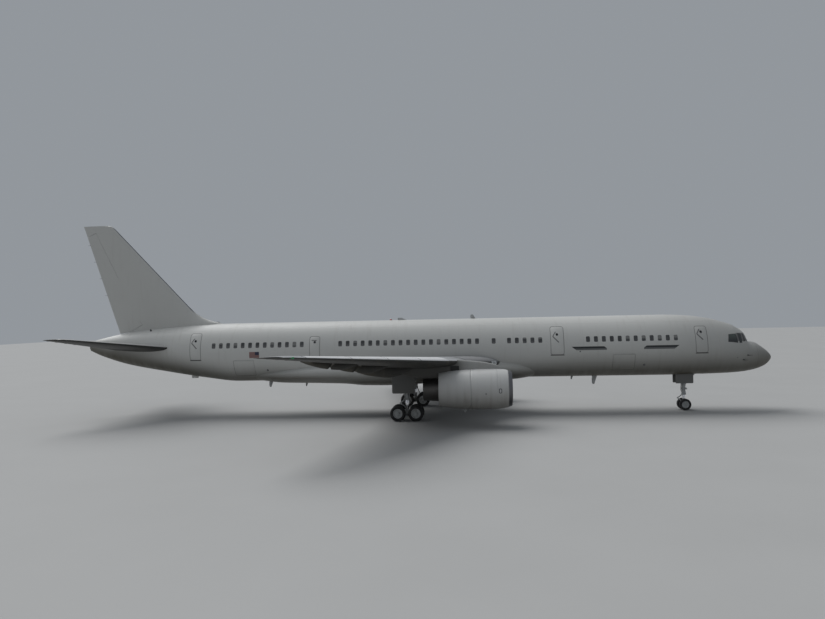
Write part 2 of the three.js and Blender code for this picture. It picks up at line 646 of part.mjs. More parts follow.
const NACELLE = [
  ...[[22.72, 0], [22.72, 0.650], [21.79, 0.706], [21.79, 0.990]],
  ...REVERSER.slice(2, 5),
  ...FAN_COWL.slice(2, 4),
  ...INLET.slice(2, 5),
  [17.48, 0],
];
const nacelleGrown = revolved(NACELLE, ENGINE, ENGINE_FACETS, SEAM);
addPair('pylon', loft(PYLON.map(pylonRing)).subtract(wingGrown).subtract(nacelleGrown), paint);

// Engines
addPair('inlet_cowl', revolved(INLET, ENGINE), bare);
addPair('fan_cowl', revolved(FAN_COWL, ENGINE), paint);
addPair('reverser', revolved(REVERSER, ENGINE), paint);
addPair('nozzle', revolved(NOZZLE, ENGINE), hot);
addPair('engine_core', revolved(CORE, ENGINE), titanium);

let fan = revolved(SPINNER, ENGINE, FAN.blades);
for (let i = 0; i < FAN.blades; i += 1) {
  const length = (FAN.tip - FAN.root) * M;
  const blade = new THREE.BoxGeometry(FAN.chord * M, FAN.thick * M, length);
  const corners = blade.attributes.position;
  for (let k = 0; k < corners.count; k += 1) {
    const rise = corners.getZ(k) / length + 0.5;
    const pitch = THREE.MathUtils.degToRad(THREE.MathUtils.lerp(BLADE_PITCH.root, BLADE_PITCH.tip, rise));
    const corner = new THREE.Vector3().fromBufferAttribute(corners, k);
    corner.applyAxisAngle(new THREE.Vector3(0, 0, 1), pitch);
    corners.setXYZ(k, corner.x, corner.y, corner.z);
  }
  blade.translate(0, 0, FAN.root * M + length / 2).rotateX((i / FAN.blades) * 2 * Math.PI);
  fan = fan.add(solid(blade.translate(x(FAN.station), ENGINE.out * M, ENGINE.height * M)));
}
const fanBore = [
  [SHAFT_BORE.from, 0],
  [SHAFT_BORE.from, SHAFT_BORE.radius],
  [SHAFT_BORE.to, SHAFT_BORE.radius],
  [SHAFT_BORE.to, 0],
];
// Both fans turn the same way round, so the starboard one is a plain copy
const fanLeft = add('fan_left', fan.subtract(revolved(fanBore, ENGINE, SHAFT_BORE.facets)), titanium);
const fanRight = new THREE.Mesh(fanLeft.geometry.clone().translate(0, -2 * ENGINE.out * M, 0), titanium);
fanRight.name = 'fan_right';
airliner.add(fanRight);

// Two wheels and their axle, turned about the cross direction
function wheelPair({ tyre, spread, width, axle, station }, aft, out) {
  const half = width / 2;
  const face = WHEEL_LINE.map(([rise, reach]) => [tyre * rise, spread + half * reach]);
  face.push([axle, spread + half * HUB_FACE]);
  const profile = [...face, ...face.map(([radius, place]) => [radius, -place]).reverse()];
  const points = profile.map(([radius, place]) => new THREE.Vector2(radius * M, place * M));
  const shape = new THREE.LatheGeometry(points, WHEEL_FACETS).rotateY(Math.PI / WHEEL_FACETS);
  return solid(shape.translate(x(station + aft), out * M, axleHeight(tyre) * M));
}

// A round bar whose radius is given in real metres, and a bore with play in model millimetres
const bar = (from, to, radius, facets = PIN_FACETS) => rod(from, to, radius * M, radius * M, facets);
const bore = (from, to, radius) => rod(from, to, radius * M + PIN_PLAY, radius * M + PIN_PLAY, BORE_FACETS);

// Two arms from a leg to a pin behind it; at gives the place of a distance aft, out and up
function torqueLinks(at, { aft, upper, lower, reach, half }) {
  const middle = (upper + lower) / 2;
  const { arm, armEnd, armFacets } = LINK_BAR;
  const armFrom = (height) => (
    rod(at(aft, 0, height), at(aft + reach, 0, middle), arm * M, armEnd * M, armFacets)
  );
  return bar(at(aft, -half, upper), at(aft, half, upper), LINK_BAR.pin)
    .add(bar(at(aft + reach, -half, middle), at(aft + reach, half, middle), arm))
    .add(armFrom(upper))
    .add(armFrom(lower));
}

// The wheels stand on a flat facet
function axleHeight(tyre) {
  return tyre * Math.cos(Math.PI / WHEEL_FACETS);
}

// Nose gear
const noseAt = (aft, out, height) => point(NOSE_GEAR.station + aft, out, height);
const noseAxle = axleHeight(NOSE_GEAR.tyre);
const wellSide = NOSE_WELL.half - SEAM / M;
const wellTop = NOSE_WELL.top - SEAM / M;
const acrossWell = (aft, height, radius) => (
  bar(noseAt(aft, -wellSide, height), noseAt(aft, wellSide, height), radius)
);
const strutTop = noseAt(-NOSE_STRUT.forward, 0, NOSE_STRUT.high);
const noseLeg = bar(noseAt(0, 0, NOSE_LEG.foot), noseAt(0, 0, wellTop), NOSE_LEG.radius)
  .add(acrossWell(0, NOSE_LEG.trunnion, NOSE_LEG.trunnionRadius))
  .add(bar(noseAt(0, 0, NOSE_STRUT.low), strutTop, NOSE_STRUT.radius))
  .add(acrossWell(-NOSE_STRUT.forward, NOSE_STRUT.high, NOSE_STRUT.radius))
  .subtract(bore(noseAt(0, 0, STEM.low), noseAt(0, 0, STEM.roomTop), STEM.radius));
add('nose_gear_leg', noseLeg, grey);

const forkTop = NOSE_LEG.foot - SEAM / M;
const [housingLeft, housingRight] = [1, -1].map((side) => noseAt(0, side * FORK.housingHalf, noseAxle));
const noseFork = bar(noseAt(0, 0, noseAxle), noseAt(0, 0, forkTop), FORK.radius)
  .add(bar(noseAt(0, 0, STEM.low), noseAt(0, 0, STEM.top), STEM.radius, BORE_FACETS))
  .add(bar(noseAt(0, 0, STEM.low), noseAt(0, 0, forkTop), FORK.collar, BORE_FACETS))
  .add(bar(housingRight, housingLeft, FORK.housing, BORE_FACETS))
  .add(torqueLinks(noseAt, NOSE_LINK))
  .add(box(noseAt(-TOW_LUG.reach, -TOW_LUG.half, TOW_LUG.low), noseAt(0, TOW_LUG.half, TOW_LUG.high)))
  .subtract(bore(noseAt(0, -1, noseAxle), noseAt(0, 1, noseAxle), NOSE_GEAR.axle));
add('nose_gear_fork', noseFork, grey);
add('nose_wheels', wheelPair(NOSE_GEAR, 0, 0), rubber);

const noseDoor = box(
  noseAt(-NOSE_DOOR.fore, NOSE_WELL.half + NOSE_DOOR.clear, NOSE_DOOR.foot),
  noseAt(NOSE_DOOR.aft, NOSE_WELL.half + NOSE_DOOR.clear + NOSE_DOOR.thick, NOSE_DOOR.top),
);
addPair('nose_gear_door', noseDoor.subtract(skinGrown), paint);

// Main gear
const mainAt = (aft, out, height) => point(MAIN_GEAR.station + aft, MAIN_GEAR.out + out, height);
const mainAxle = axleHeight(MAIN_GEAR.tyre);
const beamTop = mainAxle + BEAM.radius + BEAM.rise;
const upright = (low, high, radius) => bar(mainAt(0, 0, low), mainAt(0, 0, high), radius, LEG_FACETS);
const sideTop = mainAt(0, -SIDE_BRACE.inward, SIDE_BRACE.high);
const dragTop = mainAt(-DRAG_BRACE.forward, 0, DRAG_BRACE.high);
const mainLeg = upright(MAIN_LEG.foot, MAIN_LEG.top, MAIN_LEG.radius)
  .add(upright(beamTop + SEAM / M, MAIN_LEG.pistonTop, MAIN_LEG.piston))
  .add(bar(mainAt(0, 0, SIDE_BRACE.low), sideTop, SIDE_BRACE.radius))
  .add(bar(mainAt(0, 0, DRAG_BRACE.low), dragTop, DRAG_BRACE.radius))
  .add(torqueLinks(mainAt, MAIN_LINK))
  .subtract(wingGrown)
  .subtract(bellyGrown);
addPair('main_gear_leg', mainLeg, grey);

const axles = [['front', -MAIN_GEAR.wheelbase / 2], ['rear', MAIN_GEAR.wheelbase / 2]];
const [beamNose, beamTail] = axles.map(([, aft]) => mainAt(aft, 0, mainAxle));
let beam = bar(beamNose, beamTail, BEAM.radius, LEG_FACETS)
  .add(upright(mainAxle, beamTop, BEAM.socket));
for (const [, aft] of axles) {
  const ends = (half) => [mainAt(aft, -half, mainAxle), mainAt(aft, half, mainAxle)];
  beam = beam.add(bar(...ends(BEAM.housingHalf), BEAM.housing, BORE_FACETS));
  beam = beam.subtract(bore(...ends(1), MAIN_GEAR.axle));
}
addPair('bogie_beam', beam, grey);
for (const [name, aft] of axles) {
  addPair(`main_wheels_${name}`, wheelPair(MAIN_GEAR, aft, MAIN_GEAR.out), rubber);
}

const stay = (height) => bar(
  mainAt(0, MAIN_LEG.radius + SEAM / M, height),
  mainAt(0, STRUT_DOOR.inner + DOOR_STAY.into, height),
  DOOR_STAY.radius,
  LEG_FACETS,
);
let strutDoor = box(
  mainAt(-STRUT_DOOR.fore, STRUT_DOOR.inner, STRUT_DOOR.foot),
  mainAt(STRUT_DOOR.aft, STRUT_DOOR.outer, STRUT_DOOR.top),
);
for (const height of DOOR_STAY.heights) strutDoor = strutDoor.add(stay(height));
addPair('main_gear_door', strutDoor.subtract(lifting(WING, WING_CAMBER, DOOR_CLEARANCE)), paint);

export default airliner;
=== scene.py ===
"""Narrow-body airliner at half its real size, parked on its gear: its skins, fittings and finishes."""
from contextlib import contextmanager
from math import acos, atan2, cos, pi, radians, sin, sqrt, tan

import bmesh
import bpy
import numpy as np
from mathutils import Matrix, Vector


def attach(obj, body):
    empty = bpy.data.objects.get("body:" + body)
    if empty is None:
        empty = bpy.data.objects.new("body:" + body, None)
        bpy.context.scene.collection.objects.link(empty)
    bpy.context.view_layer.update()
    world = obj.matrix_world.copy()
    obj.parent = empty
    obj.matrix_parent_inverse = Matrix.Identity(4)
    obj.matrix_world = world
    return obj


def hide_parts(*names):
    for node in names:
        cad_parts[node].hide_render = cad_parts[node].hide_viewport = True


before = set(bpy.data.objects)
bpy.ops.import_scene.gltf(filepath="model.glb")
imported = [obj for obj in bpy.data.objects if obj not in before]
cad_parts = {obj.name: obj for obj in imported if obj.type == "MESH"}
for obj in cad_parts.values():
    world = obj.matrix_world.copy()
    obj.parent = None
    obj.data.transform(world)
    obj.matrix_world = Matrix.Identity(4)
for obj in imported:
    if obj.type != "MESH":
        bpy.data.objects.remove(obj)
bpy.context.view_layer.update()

# Tables and places are those of the real aircraft in metres: stations aft of the nose tip, distances
# out from the centre line and heights above the ground. The model is half that size.
SCALE = 0.5
LENGTH = 47.32
SIDES = ((1, "left"), (-1, "right"))


def at(station, out, height):
    """A place on the real aircraft, in the model's frame."""
    return Vector(((LENGTH / 2 - station) * SCALE, out * SCALE, height * SCALE))


# ---- Camera and light ----
# Fitted to the photograph; the turns are in radians
YAW, PITCH, ROLL = -0.07719, 0.01134, -0.02111
FOCAL_LENGTH, SENSOR_WIDTH, VIEW_END = 30.55, 36, 400
ahead = Vector((sin(YAW) * cos(PITCH), cos(YAW) * cos(PITCH), sin(PITCH)))
level = Vector((cos(YAW), -sin(YAW), 0))
upward = level.cross(ahead)
right = level * cos(ROLL) + upward * sin(ROLL)
upright = upward * cos(ROLL) - level * sin(ROLL)
lens = bpy.data.cameras.new("photo_camera")
lens.lens, lens.sensor_width, lens.clip_end = FOCAL_LENGTH, SENSOR_WIDTH, VIEW_END
camera = bpy.data.objects.new("photo_camera", lens)
camera.matrix_world = Matrix((right, upright, -ahead)).transposed().to_4x4()
camera.location = (1.806, -24.1325, 3.279)
bpy.context.scene.collection.objects.link(camera)
bpy.context.scene.camera = camera


def lamp(name, kind, place, aim, strength, **shape):
    light = bpy.data.lights.new(name, kind)
    light.energy = strength
    for setting, value in shape.items():
        setattr(light, setting, value)
    holder = bpy.data.objects.new(name, light)
    holder.location = place
    holder.rotation_euler = (Vector(aim) - Vector(place)).to_track_quat("-Z", "Y").to_euler()
    bpy.context.scene.collection.objects.link(holder)


lamp("high_light", "SUN", (-20, 14, 32), (0, 0, 0), 2.35, angle=radians(50))
lamp("front_panel", "AREA", (-8, -30, 10), (-6, 0, 2), 260, shape="RECTANGLE", size=30, size_y=10)

SKY, SKY_STRENGTH = (0.80, 0.86, 0.93, 1), 0.36
world = bpy.data.worlds.new("studio")
world.use_nodes = True
background = world.node_tree.nodes["Background"].inputs
background["Color"].default_value = SKY
background["Strength"].default_value = SKY_STRENGTH
bpy.context.scene.world = world
bpy.context.scene.view_settings.view_transform = "Standard"


# ---- Finishes ----
NOISE_ROUGHNESS = 0.55


class Field:
    """A number that varies over a surface. The signs of arithmetic on it add the shader's maths."""

    def __init__(self, finish, socket):
        self.finish, self.socket = finish, socket

    def maths(self, operation, *others):
        values = dict(enumerate((self, *others)))
        return self.finish.add("Math", {"operation": operation}, values)

    def __add__(self, other): return self.maths("ADD", other)
    def __radd__(self, other): return self.maths("ADD", other)
    def __sub__(self, other): return self.maths("SUBTRACT", other)
    def __rsub__(self, other): return self.finish.add("Math", {"operation": "SUBTRACT"}, {0: other, 1: self})
    def __mul__(self, other): return self.maths("MULTIPLY", other)
    def __truediv__(self, other): return self.maths("DIVIDE", other)
    def __pow__(self, other): return self.maths("POWER", other)
    def __gt__(self, other): return self.maths("GREATER_THAN", other)
    def __abs__(self): return self.maths("ABSOLUTE")


class Finish:
    """A procedural material on Object coordinates, with the record's slot that it belongs to."""

    def __init__(self, name, slot, **constants):
        self.material = bpy.data.materials.new(name)
        self.material.use_nodes = True
        self.slot = slot
        self.tree = self.material.node_tree
        self.shader = self.tree.nodes["Principled BSDF"]
        for socket, value in constants.items():
            self.shader.inputs[socket.replace("_", " ")].default_value = value
        self.place = self.add("TexCoord", output="Object")

    def add(self, kind, settings=None, values=None, output=0):
        node = self.tree.nodes.new("ShaderNode" + kind)
        for key, value in (settings or {}).items():
            setattr(node, key, value)
        for key, value in (values or {}).items():
            self.feed(node.inputs[key], value)
        return Field(self, node.outputs[output])

    def feed(self, socket, value):
        if isinstance(value, Field):
            self.tree.links.new(value.socket, socket)
        else:
            socket.default_value = value

    def drive(self, **fields):
        for key, value in fields.items():
            self.feed(self.shader.inputs[key.replace("_", " ")], value)
        return self

    def axes(self):
        """X, Y and Z of the place, in the model's metres."""
        split = self.add("SeparateXYZ", values={0: self.place})
        return [Field(self, split.socket.node.outputs[i]) for i in range(3)]

    def real(self):
        """Station, distance out (both sides alike) and height, in the real aircraft's metres."""
        x, y, z = self.axes()
        return LENGTH / 2 - x / SCALE, abs(y) / SCALE, z / SCALE

    def noise(self, scale, detail, stretch=(1, 1, 1)):
        place = self.add("Mapping", values={"Vector": self.place, "Scale": stretch})
        values = {"Vector": place, "Scale": scale, "Detail": detail, "Roughness": NOISE_ROUGHNESS}
        return self.add("TexNoise", values=values)

    def ramp(self, field, low, high):
        """0 below low, 1 above high, and a soft rise between them."""
        values = {"Value": field, "From Min": low, "From Max": high}
        return self.add("MapRange", {"interpolation_type": "SMOOTHSTEP"}, values)

    def between(self, field, low, high, soft=0.004):
        return self.ramp(field, low - soft, low + soft) * (1 - self.ramp(field, high - soft, high + soft))

    def outline(self, u, v, half_u, half_v, corner):
        """Distance out from the edge of a rounded rectangle, negative inside it."""
        qu, qv = abs(u) - (half_u - corner), abs(v) - (half_v - corner)
        outer = (qu.maths("MAXIMUM", 0) ** 2 + qv.maths("MAXIMUM", 0) ** 2) ** 0.5
        return outer + qu.maths("MAXIMUM", qv).maths("MINIMUM", 0) - corner

    def lines(self, field, pitch, width):
        """Thin lines across a field at a pitch, 1 on a line and 0 off it."""
        wave = abs((field / pitch).maths("FRACT") - 0.5)
        return self.ramp(wave, 0.5 - width / pitch, 0.5 - 0.4 * width / pitch)

    def mixed(self, factor, first, second):
        values = {0: factor, 6: first, 7: second}
        return self.add("Mix", {"data_type": "RGBA"}, values, output=2)

    def bump(self, height, strength, distance):
        values = {"Height": height, "Strength": strength, "Distance": distance}
        self.drive(Normal=self.add("Bump", values=values))
        return self


def rgb(r, g, b):
    return (r, g, b, 1)


def darker(colour, share):
    return rgb(*(c * share for c in colour[:3]))


WHITE = rgb(0.56, 0.56, 0.54)
GRIME = rgb(0.20, 0.17, 0.12)
SEAM_DARK = rgb(0.10, 0.10, 0.10)
STRIPE_DARK = rgb(0.035, 0.038, 0.040)
STRIPE_PALE = rgb(0.13, 0.135, 0.135)


def painted(name, colour, dirt=0.5, rough=0.36, slot="white_paint", shine=0.5):
    """Gloss paint with slow shifts of tone, faint streaks down the sides and a little wear in the shine."""
    f = Finish(name, slot, Specular_IOR_Level=shine)
    f.cloud = f.noise(0.9, detail=5)
    f.streak = f.noise(2.2, stretch=(3.2, 0.5, 0.35), detail=5)
    f.speck = f.noise(60, detail=2)
    shade = f.mixed(f.ramp(f.cloud, 0.38, 0.70) * 0.10, colour, darker(colour, 0.82))
    f.shade = f.mixed(f.ramp(f.streak, 0.52, 0.78) * dirt * 0.35, shade, GRIME)
    return f.drive(Base_Color=f.shade, Roughness=rough + f.cloud * 0.10 + f.speck * 0.05)


# Doors: name, side (+1 port), forward edge, aft edge, sill, head
DOORS = [
    ("door_front_left", 1, 4.52, 5.36, 3.90, 5.68), ("door_front_right", -1, 4.58, 5.34, 3.90, 5.60),
    ("door_second_left", 1, 13.76, 14.60, 3.92, 5.74), ("door_second_right", -1, 13.76, 14.60, 3.92, 5.74),
    ("door_third_left", 1, 29.95, 30.63, 4.05, 5.40), ("door_third_right", -1, 29.95, 30.63, 4.05, 5.40),
    ("door_rear_left", 1, 38.20, 38.96, 3.95, 5.74), ("door_rear_right", -1, 38.20, 38.96, 3.95, 5.74),
]
# Cargo doors low in the starboard side: name, forward edge, aft edge; their sill, head and hinge line
CARGO_DOORS = [("cargo_door_front", 9.20, 10.60), ("cargo_door_rear", 34.50, 35.90)]
CARGO_SILL, CARGO_HEAD = 2.82, 3.855
HINGE_OUT, HINGE_HEIGHT = -1.811, 3.87
KNUCKLE, CARGO_GAP = 0.014, 0.006  # model metres
WINDOW_PITCH = 0.508
# Heights of the stripes' lower edge, of the change from pale to dark, and of their upper edge
STRIPE_LOW, STRIPE_MIDDLE, STRIPE_HIGH = 4.19, 4.30, 4.425


def fuselage_paint():
    """White paint with painted shade towards the nose, and dirt and painted shade towards the keel, with seams, door
    outlines and stripes.
    """
    f = painted("fuselage_paint", WHITE, dirt=0.35, shine=0.25)
    station, out, height = f.real()
    port = f.axes()[1] > 0
    # Dirt and painted shade that rise from the keel, the painted shade reaching higher towards the nose, and painted
    # shade over the nose
    aft, fore = (station - 36.3).maths("MAXIMUM", 0), (2.3 - station).maths("MAXIMUM", 0)
    sag = f.ramp(station, 21, 24) * (1 - f.ramp(station, 30, 34)) * 0.4
    level = height - 2.36 - aft * 0.215 - fore * 0.25 + sag
    low = 1 - f.ramp(level + (f.streak - 0.5) * 0.3, -0.1, 3.1 - f.ramp(station, 11, 18) * 1.1)
    # Painted shade over the nose, deepest at its tip
    nose_shade = 1 - f.ramp(station, 0, 11)
    shade = f.mixed(nose_shade * 0.45, f.shade, rgb(0.16, 0.16, 0.155))
    shade = f.mixed(low * low * (0.80 + f.streak * 0.35), shade, rgb(0.085, 0.080, 0.062))
    # Painted shade on the posts between the cockpit's panes, and oil along the belly
    post_shade = f.between(station, 1.75, 2.60, 0.03) * f.between(height, 4.57, 5.10, 0.03)
    shade = f.mixed(post_shade * 0.75, shade, rgb(0.05, 0.05, 0.055))
    run = f.noise(1.1, stretch=(0.35, 2.0, 5.0), detail=5)
    oily = (1 - f.ramp(height, 2.35, 2.95)) * f.ramp(run, 0.46, 0.66)
    shade = f.mixed(oily * 0.55, shade, rgb(0.085, 0.060, 0.035))
    # Joints of the barrels and laps along them
    joints = f.lines(station - 0.31, 4.064, 0.012)
    laps = f.between(height, 5.905, 5.925) + f.between(height, 3.34, 3.36)
    shade = f.mixed((joints + laps) * 0.10, shade, SEAM_DARK)
    # The radome's seam, the doors' outlines, and dark sills below the doors: scuff plates darkened with painted
    # shadow
    radome = f.between(station, 1.14, 1.16)
    edges, sill_plates_and_shadow = radome * 0.4, 0
    for name, side, fore, aft, sill, head in DOORS:
        twins = name.startswith("door_front")
        if side > 0 and not twins:
            continue
        here = (port if side > 0 else 1 - port) if twins else 1
        u, v = station - (fore + aft) / 2, height - (sill + head) / 2
        half_u, half_v = (aft - fore) / 2, (head - sill) / 2
        edges = edges + f.between(f.outline(u, v, half_u, half_v, 0.13), -0.012, 0.020, 0.006) * here
        sill_plates_and_shadow = sill_plates_and_shadow + f.between(abs(u), -1, half_u + 0.03) * f.between(v + half_v, -0.055, 0.0) * here
    for name, fore, aft in CARGO_DOORS:
        u, v = station - (fore + aft) / 2, height - (CARGO_SILL + CARGO_HEAD) / 2
        rim = f.outline(u, v, (aft - fore) / 2, (CARGO_HEAD - CARGO_SILL) / 2, 0.06)
        edges = edges + f.between(rim, -0.008, 0.014, 0.006) * (1 - port) * 0.35
    shade = f.mixed(edges * 0.72, shade, rgb(0.045, 0.045, 0.045))
    shade = f.mixed(sill_plates_and_shadow * 0.9, shade, rgb(0.022, 0.022, 0.022))
    # The two stripes, cut off at a slant
    slant = (height - 4.29) * 1.3
    aft_stripe = f.between(station - slant, 11.01, 13.10) * f.between(station, 11.01, 14)
    fore_stripe = f.between(station + slant, 6.58, 8.65) * f.between(station, 6, 8.65)
    stripe = (aft_stripe + fore_stripe) * f.ramp(out, 0.8, 0.9)
    shade = f.mixed(stripe * f.between(height, STRIPE_LOW, STRIPE_HIGH), shade, STRIPE_PALE)
    shade = f.mixed(stripe * f.between(height, STRIPE_MIDDLE, STRIPE_HIGH), shade, STRIPE_DARK)
    f.drive(Base_Color=shade)
    return f.bump(f.noise(1.3, detail=2) + joints * -0.3, 0.10, 0.02)


def wing_paint(name, colour, bare_nose=True, shine=0.3):
    """Grey panels with a bare leading edge, spar and rib lines, a painted shadow over the root, and soot towards the
    trailing edge.
    """
    f = painted(name, colour, dirt=0.5, slot="grey_paint", shine=shine)
    station, out, _ = f.real()
    # The leading edge and the chord as in WING, straight on both sides of the kink
    edge = 17.64 + (out - 1.2) * 0.5534
    chord = (8.50 - (out - 1.2) * 0.4536).maths("MAXIMUM", 5.96 - (out - 6.8) * 0.3506)
    along = (station - edge) / chord
    front_spar = f.between(along, 0.12, 0.123, 0.0008)
    spars = sum((f.between(along, p, p + 0.002, 0.0008) for p in (0.17, 0.34, 0.52)), front_spar)
    ribs = f.lines(out, 1.62, 0.010)
    shade = f.mixed((spars + ribs) * 0.35, f.shade, SEAM_DARK)
    shade = f.mixed(f.ramp(along, 0.55, 0.98) * f.streak * 0.4, shade, GRIME)
    # Painted shadow over the wing's root, with no bare leading edge under it
    root_shadow = 1 - f.ramp(out, 5.6, 6.9)
    shade = f.mixed(root_shadow * 0.45, shade, rgb(0.13, 0.13, 0.13))
    bare = (1 - f.ramp(along, 0.030, 0.036)) * float(bare_nose) * (1 - root_shadow)
    shade = f.mixed(bare, shade, rgb(0.66, 0.66, 0.66))
    f.drive(Base_Color=shade, Metallic=bare * 0.6, Roughness=0.42 - bare * 0.10 + f.speck * 0.06)
    return f.bump(f.noise(2.0, detail=2) - (spars + ribs) * 0.4, 0.10, 0.01)


def fin_paint():
    """White paint with a dark strip along the leading edge."""
    f = painted("fin_paint", rgb(0.50, 0.50, 0.48), dirt=0.25)
    station, _, height = f.real()
    edge = 39.62 + (height - 7.60) * 0.9404
    nose = 1 - f.ramp(station - edge, 0.035, 0.045)
    shade = f.mixed(nose * f.ramp(height, 7.0, 7.6), f.shade, rgb(0.035, 0.040, 0.060))
    return f.drive(Base_Color=shade)


def cowl_paint():
    """Nacelle paint with a bare intake lip and a seam behind it, with dirt and painted shade on its lower side."""
    f = painted("cowl_paint", rgb(0.54, 0.54, 0.53), dirt=0.5, shine=0.3)
    station, _, height = f.real()
    # Dirt and painted shade, darker towards the bottom
    low = 1 - f.ramp(height, 0.9, 2.9)
    shade = f.mixed(low * (0.45 + f.streak * 0.35), f.shade, rgb(0.10, 0.085, 0.06))
    # The bare lip, darkened by a painted reflection of the ground, darker still towards its bottom
    lip = 1 - f.ramp(station, 17.70, 17.71)
    shade = f.mixed(lip, shade, f.mixed(low * 0.8, rgb(0.18, 0.18, 0.19), rgb(0.03, 0.03, 0.03)))
    trim = f.between(station, 17.715, 17.735) * 0.5
    shade = f.mixed(trim, shade, SEAM_DARK)
    return f.drive(Base_Color=shade, Metallic=lip * 0.9, Roughness=0.36 - lip * 0.10 + f.cloud * 0.10)


def pylon_paint():
    """Cowl paint, darkened as painted shade, that soot and more painted shade darken towards the tail."""
    f = painted("pylon_paint", rgb(0.34, 0.34, 0.33), dirt=0.5, shine=0.15)
    station, _, _ = f.real()
    soot_and_shade = f.ramp(station + (f.streak - 0.5) * 0.5, 19.6, 21.2)
    return f.drive(Base_Color=f.mixed(soot_and_shade * 0.9, f.shade, rgb(0.060, 0.058, 0.052)))


def metal(name, colour, rough, slot, stretch=(1, 1, 1), dirt=0.3):
    f = Finish(name, slot, Metallic=1.0)
    grain = f.noise(14, stretch=stretch, detail=5)
    cloud = f.noise(2.4, detail=4)
    shade = f.mixed(f.ramp(grain, 0.35, 0.75) * 0.25, colour, darker(colour, 0.6))
    shade = f.mixed(f.ramp(cloud, 0.5, 0.8) * dirt, shade, rgb(0.06, 0.05, 0.045))
    f.drive(Base_Color=shade, Roughness=rough + grain * 0.14)
    return f.bump(grain, 0.06, 0.004)


def rubber():
    f = Finish("tyre_rubber", "tyre", Metallic=0.0)
    dust = f.noise(5.5, detail=6)
    grain = f.noise(90, detail=3)
    shade = f.mixed(f.ramp(dust, 0.45, 0.75) * 0.5, rgb(0.018, 0.018, 0.019), rgb(0.075, 0.070, 0.062))
    f.drive(Base_Color=shade, Roughness=0.72 + grain * 0.2)
    return f.bump(grain, 0.25, 0.002)


def glazing(name, tint):
    f = Finish(name, "cockpit_glass", Metallic=0.0, Specular_IOR_Level=0.7)
    haze = f.noise(7, detail=3)
    f.shade = f.mixed(f.ramp(haze, 0.35, 0.75), tint, darker(tint, 0.45))
    return f.drive(Base_Color=f.shade, Roughness=0.06 + haze * 0.08)


def cabin_glass():
    """Dark panes, some behind a pale blind that is drawn down part of the way."""
    f = glazing("cabin_glass", rgb(0.060, 0.062, 0.064))
    station, _, height = f.real()
    seat = ((station + 0.20) / WINDOW_PITCH).maths("FLOOR")
    port = (f.axes()[1] > 0) * 37.0
    draw = f.add("TexWhiteNoise", {"noise_dimensions": "1D"}, {"W": seat + port})
    edge = 5.10 - f.ramp(draw, 0.35, 1.0) * 0.26
    blind = f.ramp(height - edge, -0.004, 0.004)
    return f.drive(Base_Color=f.mixed(blind, f.shade, rgb(0.17, 0.17, 0.165)))


def cockpit_glass():
    """Dark panes in front and a paler, greener one behind them, with the cockpit's grey lining in it."""
    f = glazing("cockpit_glass", rgb(0.016, 0.020, 0.022))
    station, _, height = f.real()
    rear = f.ramp(station, 2.60, 2.64) * f.ramp(height, 4.58, 4.95)
    return f.drive(Base_Color=f.mixed(rear, f.shade, rgb(0.045, 0.058, 0.052)))


def plain_paint(name, colour, dirt=0.6):
    """Workshop paint on small parts, with patches of oil and small pale chips."""
    f = Finish(name, "grey_paint", Metallic=0.0)
    oil = f.noise(9, detail=6)
    chip = f.noise(38, detail=4)
    shade = f.mixed(f.ramp(oil, 0.48, 0.76) * dirt, colour, rgb(0.07, 0.06, 0.05))
    shade = f.mixed(f.ramp(chip, 0.72, 0.78) * 0.5, shade, rgb(0.30, 0.30, 0.30))
    f.drive(Base_Color=shade, Roughness=0.5 + oil * 0.2)
    return f.bump(chip, 0.08, 0.002)


FUSELAGE_PAINT = fuselage_paint()
WHITE_PAINT = painted("panel_paint", WHITE)
WING_PAINT = wing_paint("wing_paint", rgb(0.35, 0.36, 0.37))
# The wing's underside: a dark copy of the wing paint, as painted shade
SHADED_UNDER_PAINT = wing_paint("wing_underside_shade_paint", rgb(0.066, 0.065, 0.061), bare_nose=False, shine=0.06)
FIN_PAINT = fin_paint()
TAIL_PAINT = painted("tailplane_paint", rgb(0.36, 0.36, 0.355), dirt=0.4)
# The tailplane's underside: a dark copy of its paint, as painted shade
SHADED_TAIL_UNDER = painted("tailplane_underside_shade_paint", rgb(0.052, 0.052, 0.050), 0.4, slot="grey_paint", shine=0.06)
# Gear doors: white paint darkened as painted shade
SHADED_DOOR_PAINT = painted("gear_door_shade_paint", rgb(0.16, 0.16, 0.155), 0.6, slot="grey_paint", shine=0.15)
COWL_PAINT = cowl_paint()
PYLON_PAINT = pylon_paint()
HOT_METAL = metal("hot_metal", rgb(0.115, 0.110, 0.105), 0.42, "hot_metal", stretch=(5, 0.6, 0.6), dirt=0.5)
TITANIUM = metal("titanium", rgb(0.36, 0.37, 0.39), 0.28, "titanium")
CHROME = metal("oleo_chrome", rgb(0.80, 0.80, 0.82), 0.08, "bare_metal", dirt=0.1)
SHEET_METAL = metal("sheet_metal", rgb(0.50, 0.50, 0.51), 0.34, "bare_metal")
GEAR_PAINT = plain_paint("gear_paint", rgb(0.40, 0.41, 0.41))
DARK_PAINT = plain_paint("dark_fittings", rgb(0.035, 0.035, 0.037), dirt=0.2)
TYRE_RUBBER = rubber()
CABIN_GLASS = cabin_glass()
COCKPIT_GLASS = cockpit_glass()
WELL_PAINT = plain_paint("well_primer", rgb(0.30, 0.33, 0.24))
# The cargo hold's lining, dark as painted shade inside the recess
HOLD_SHADE_PAINT = plain_paint("hold_shade_lining", rgb(0.09, 0.095, 0.085), dirt=0.3)
SLAT_METAL = painted("slat_metal", rgb(0.72, 0.72, 0.72), 0.25, 0.30, "bare_metal")
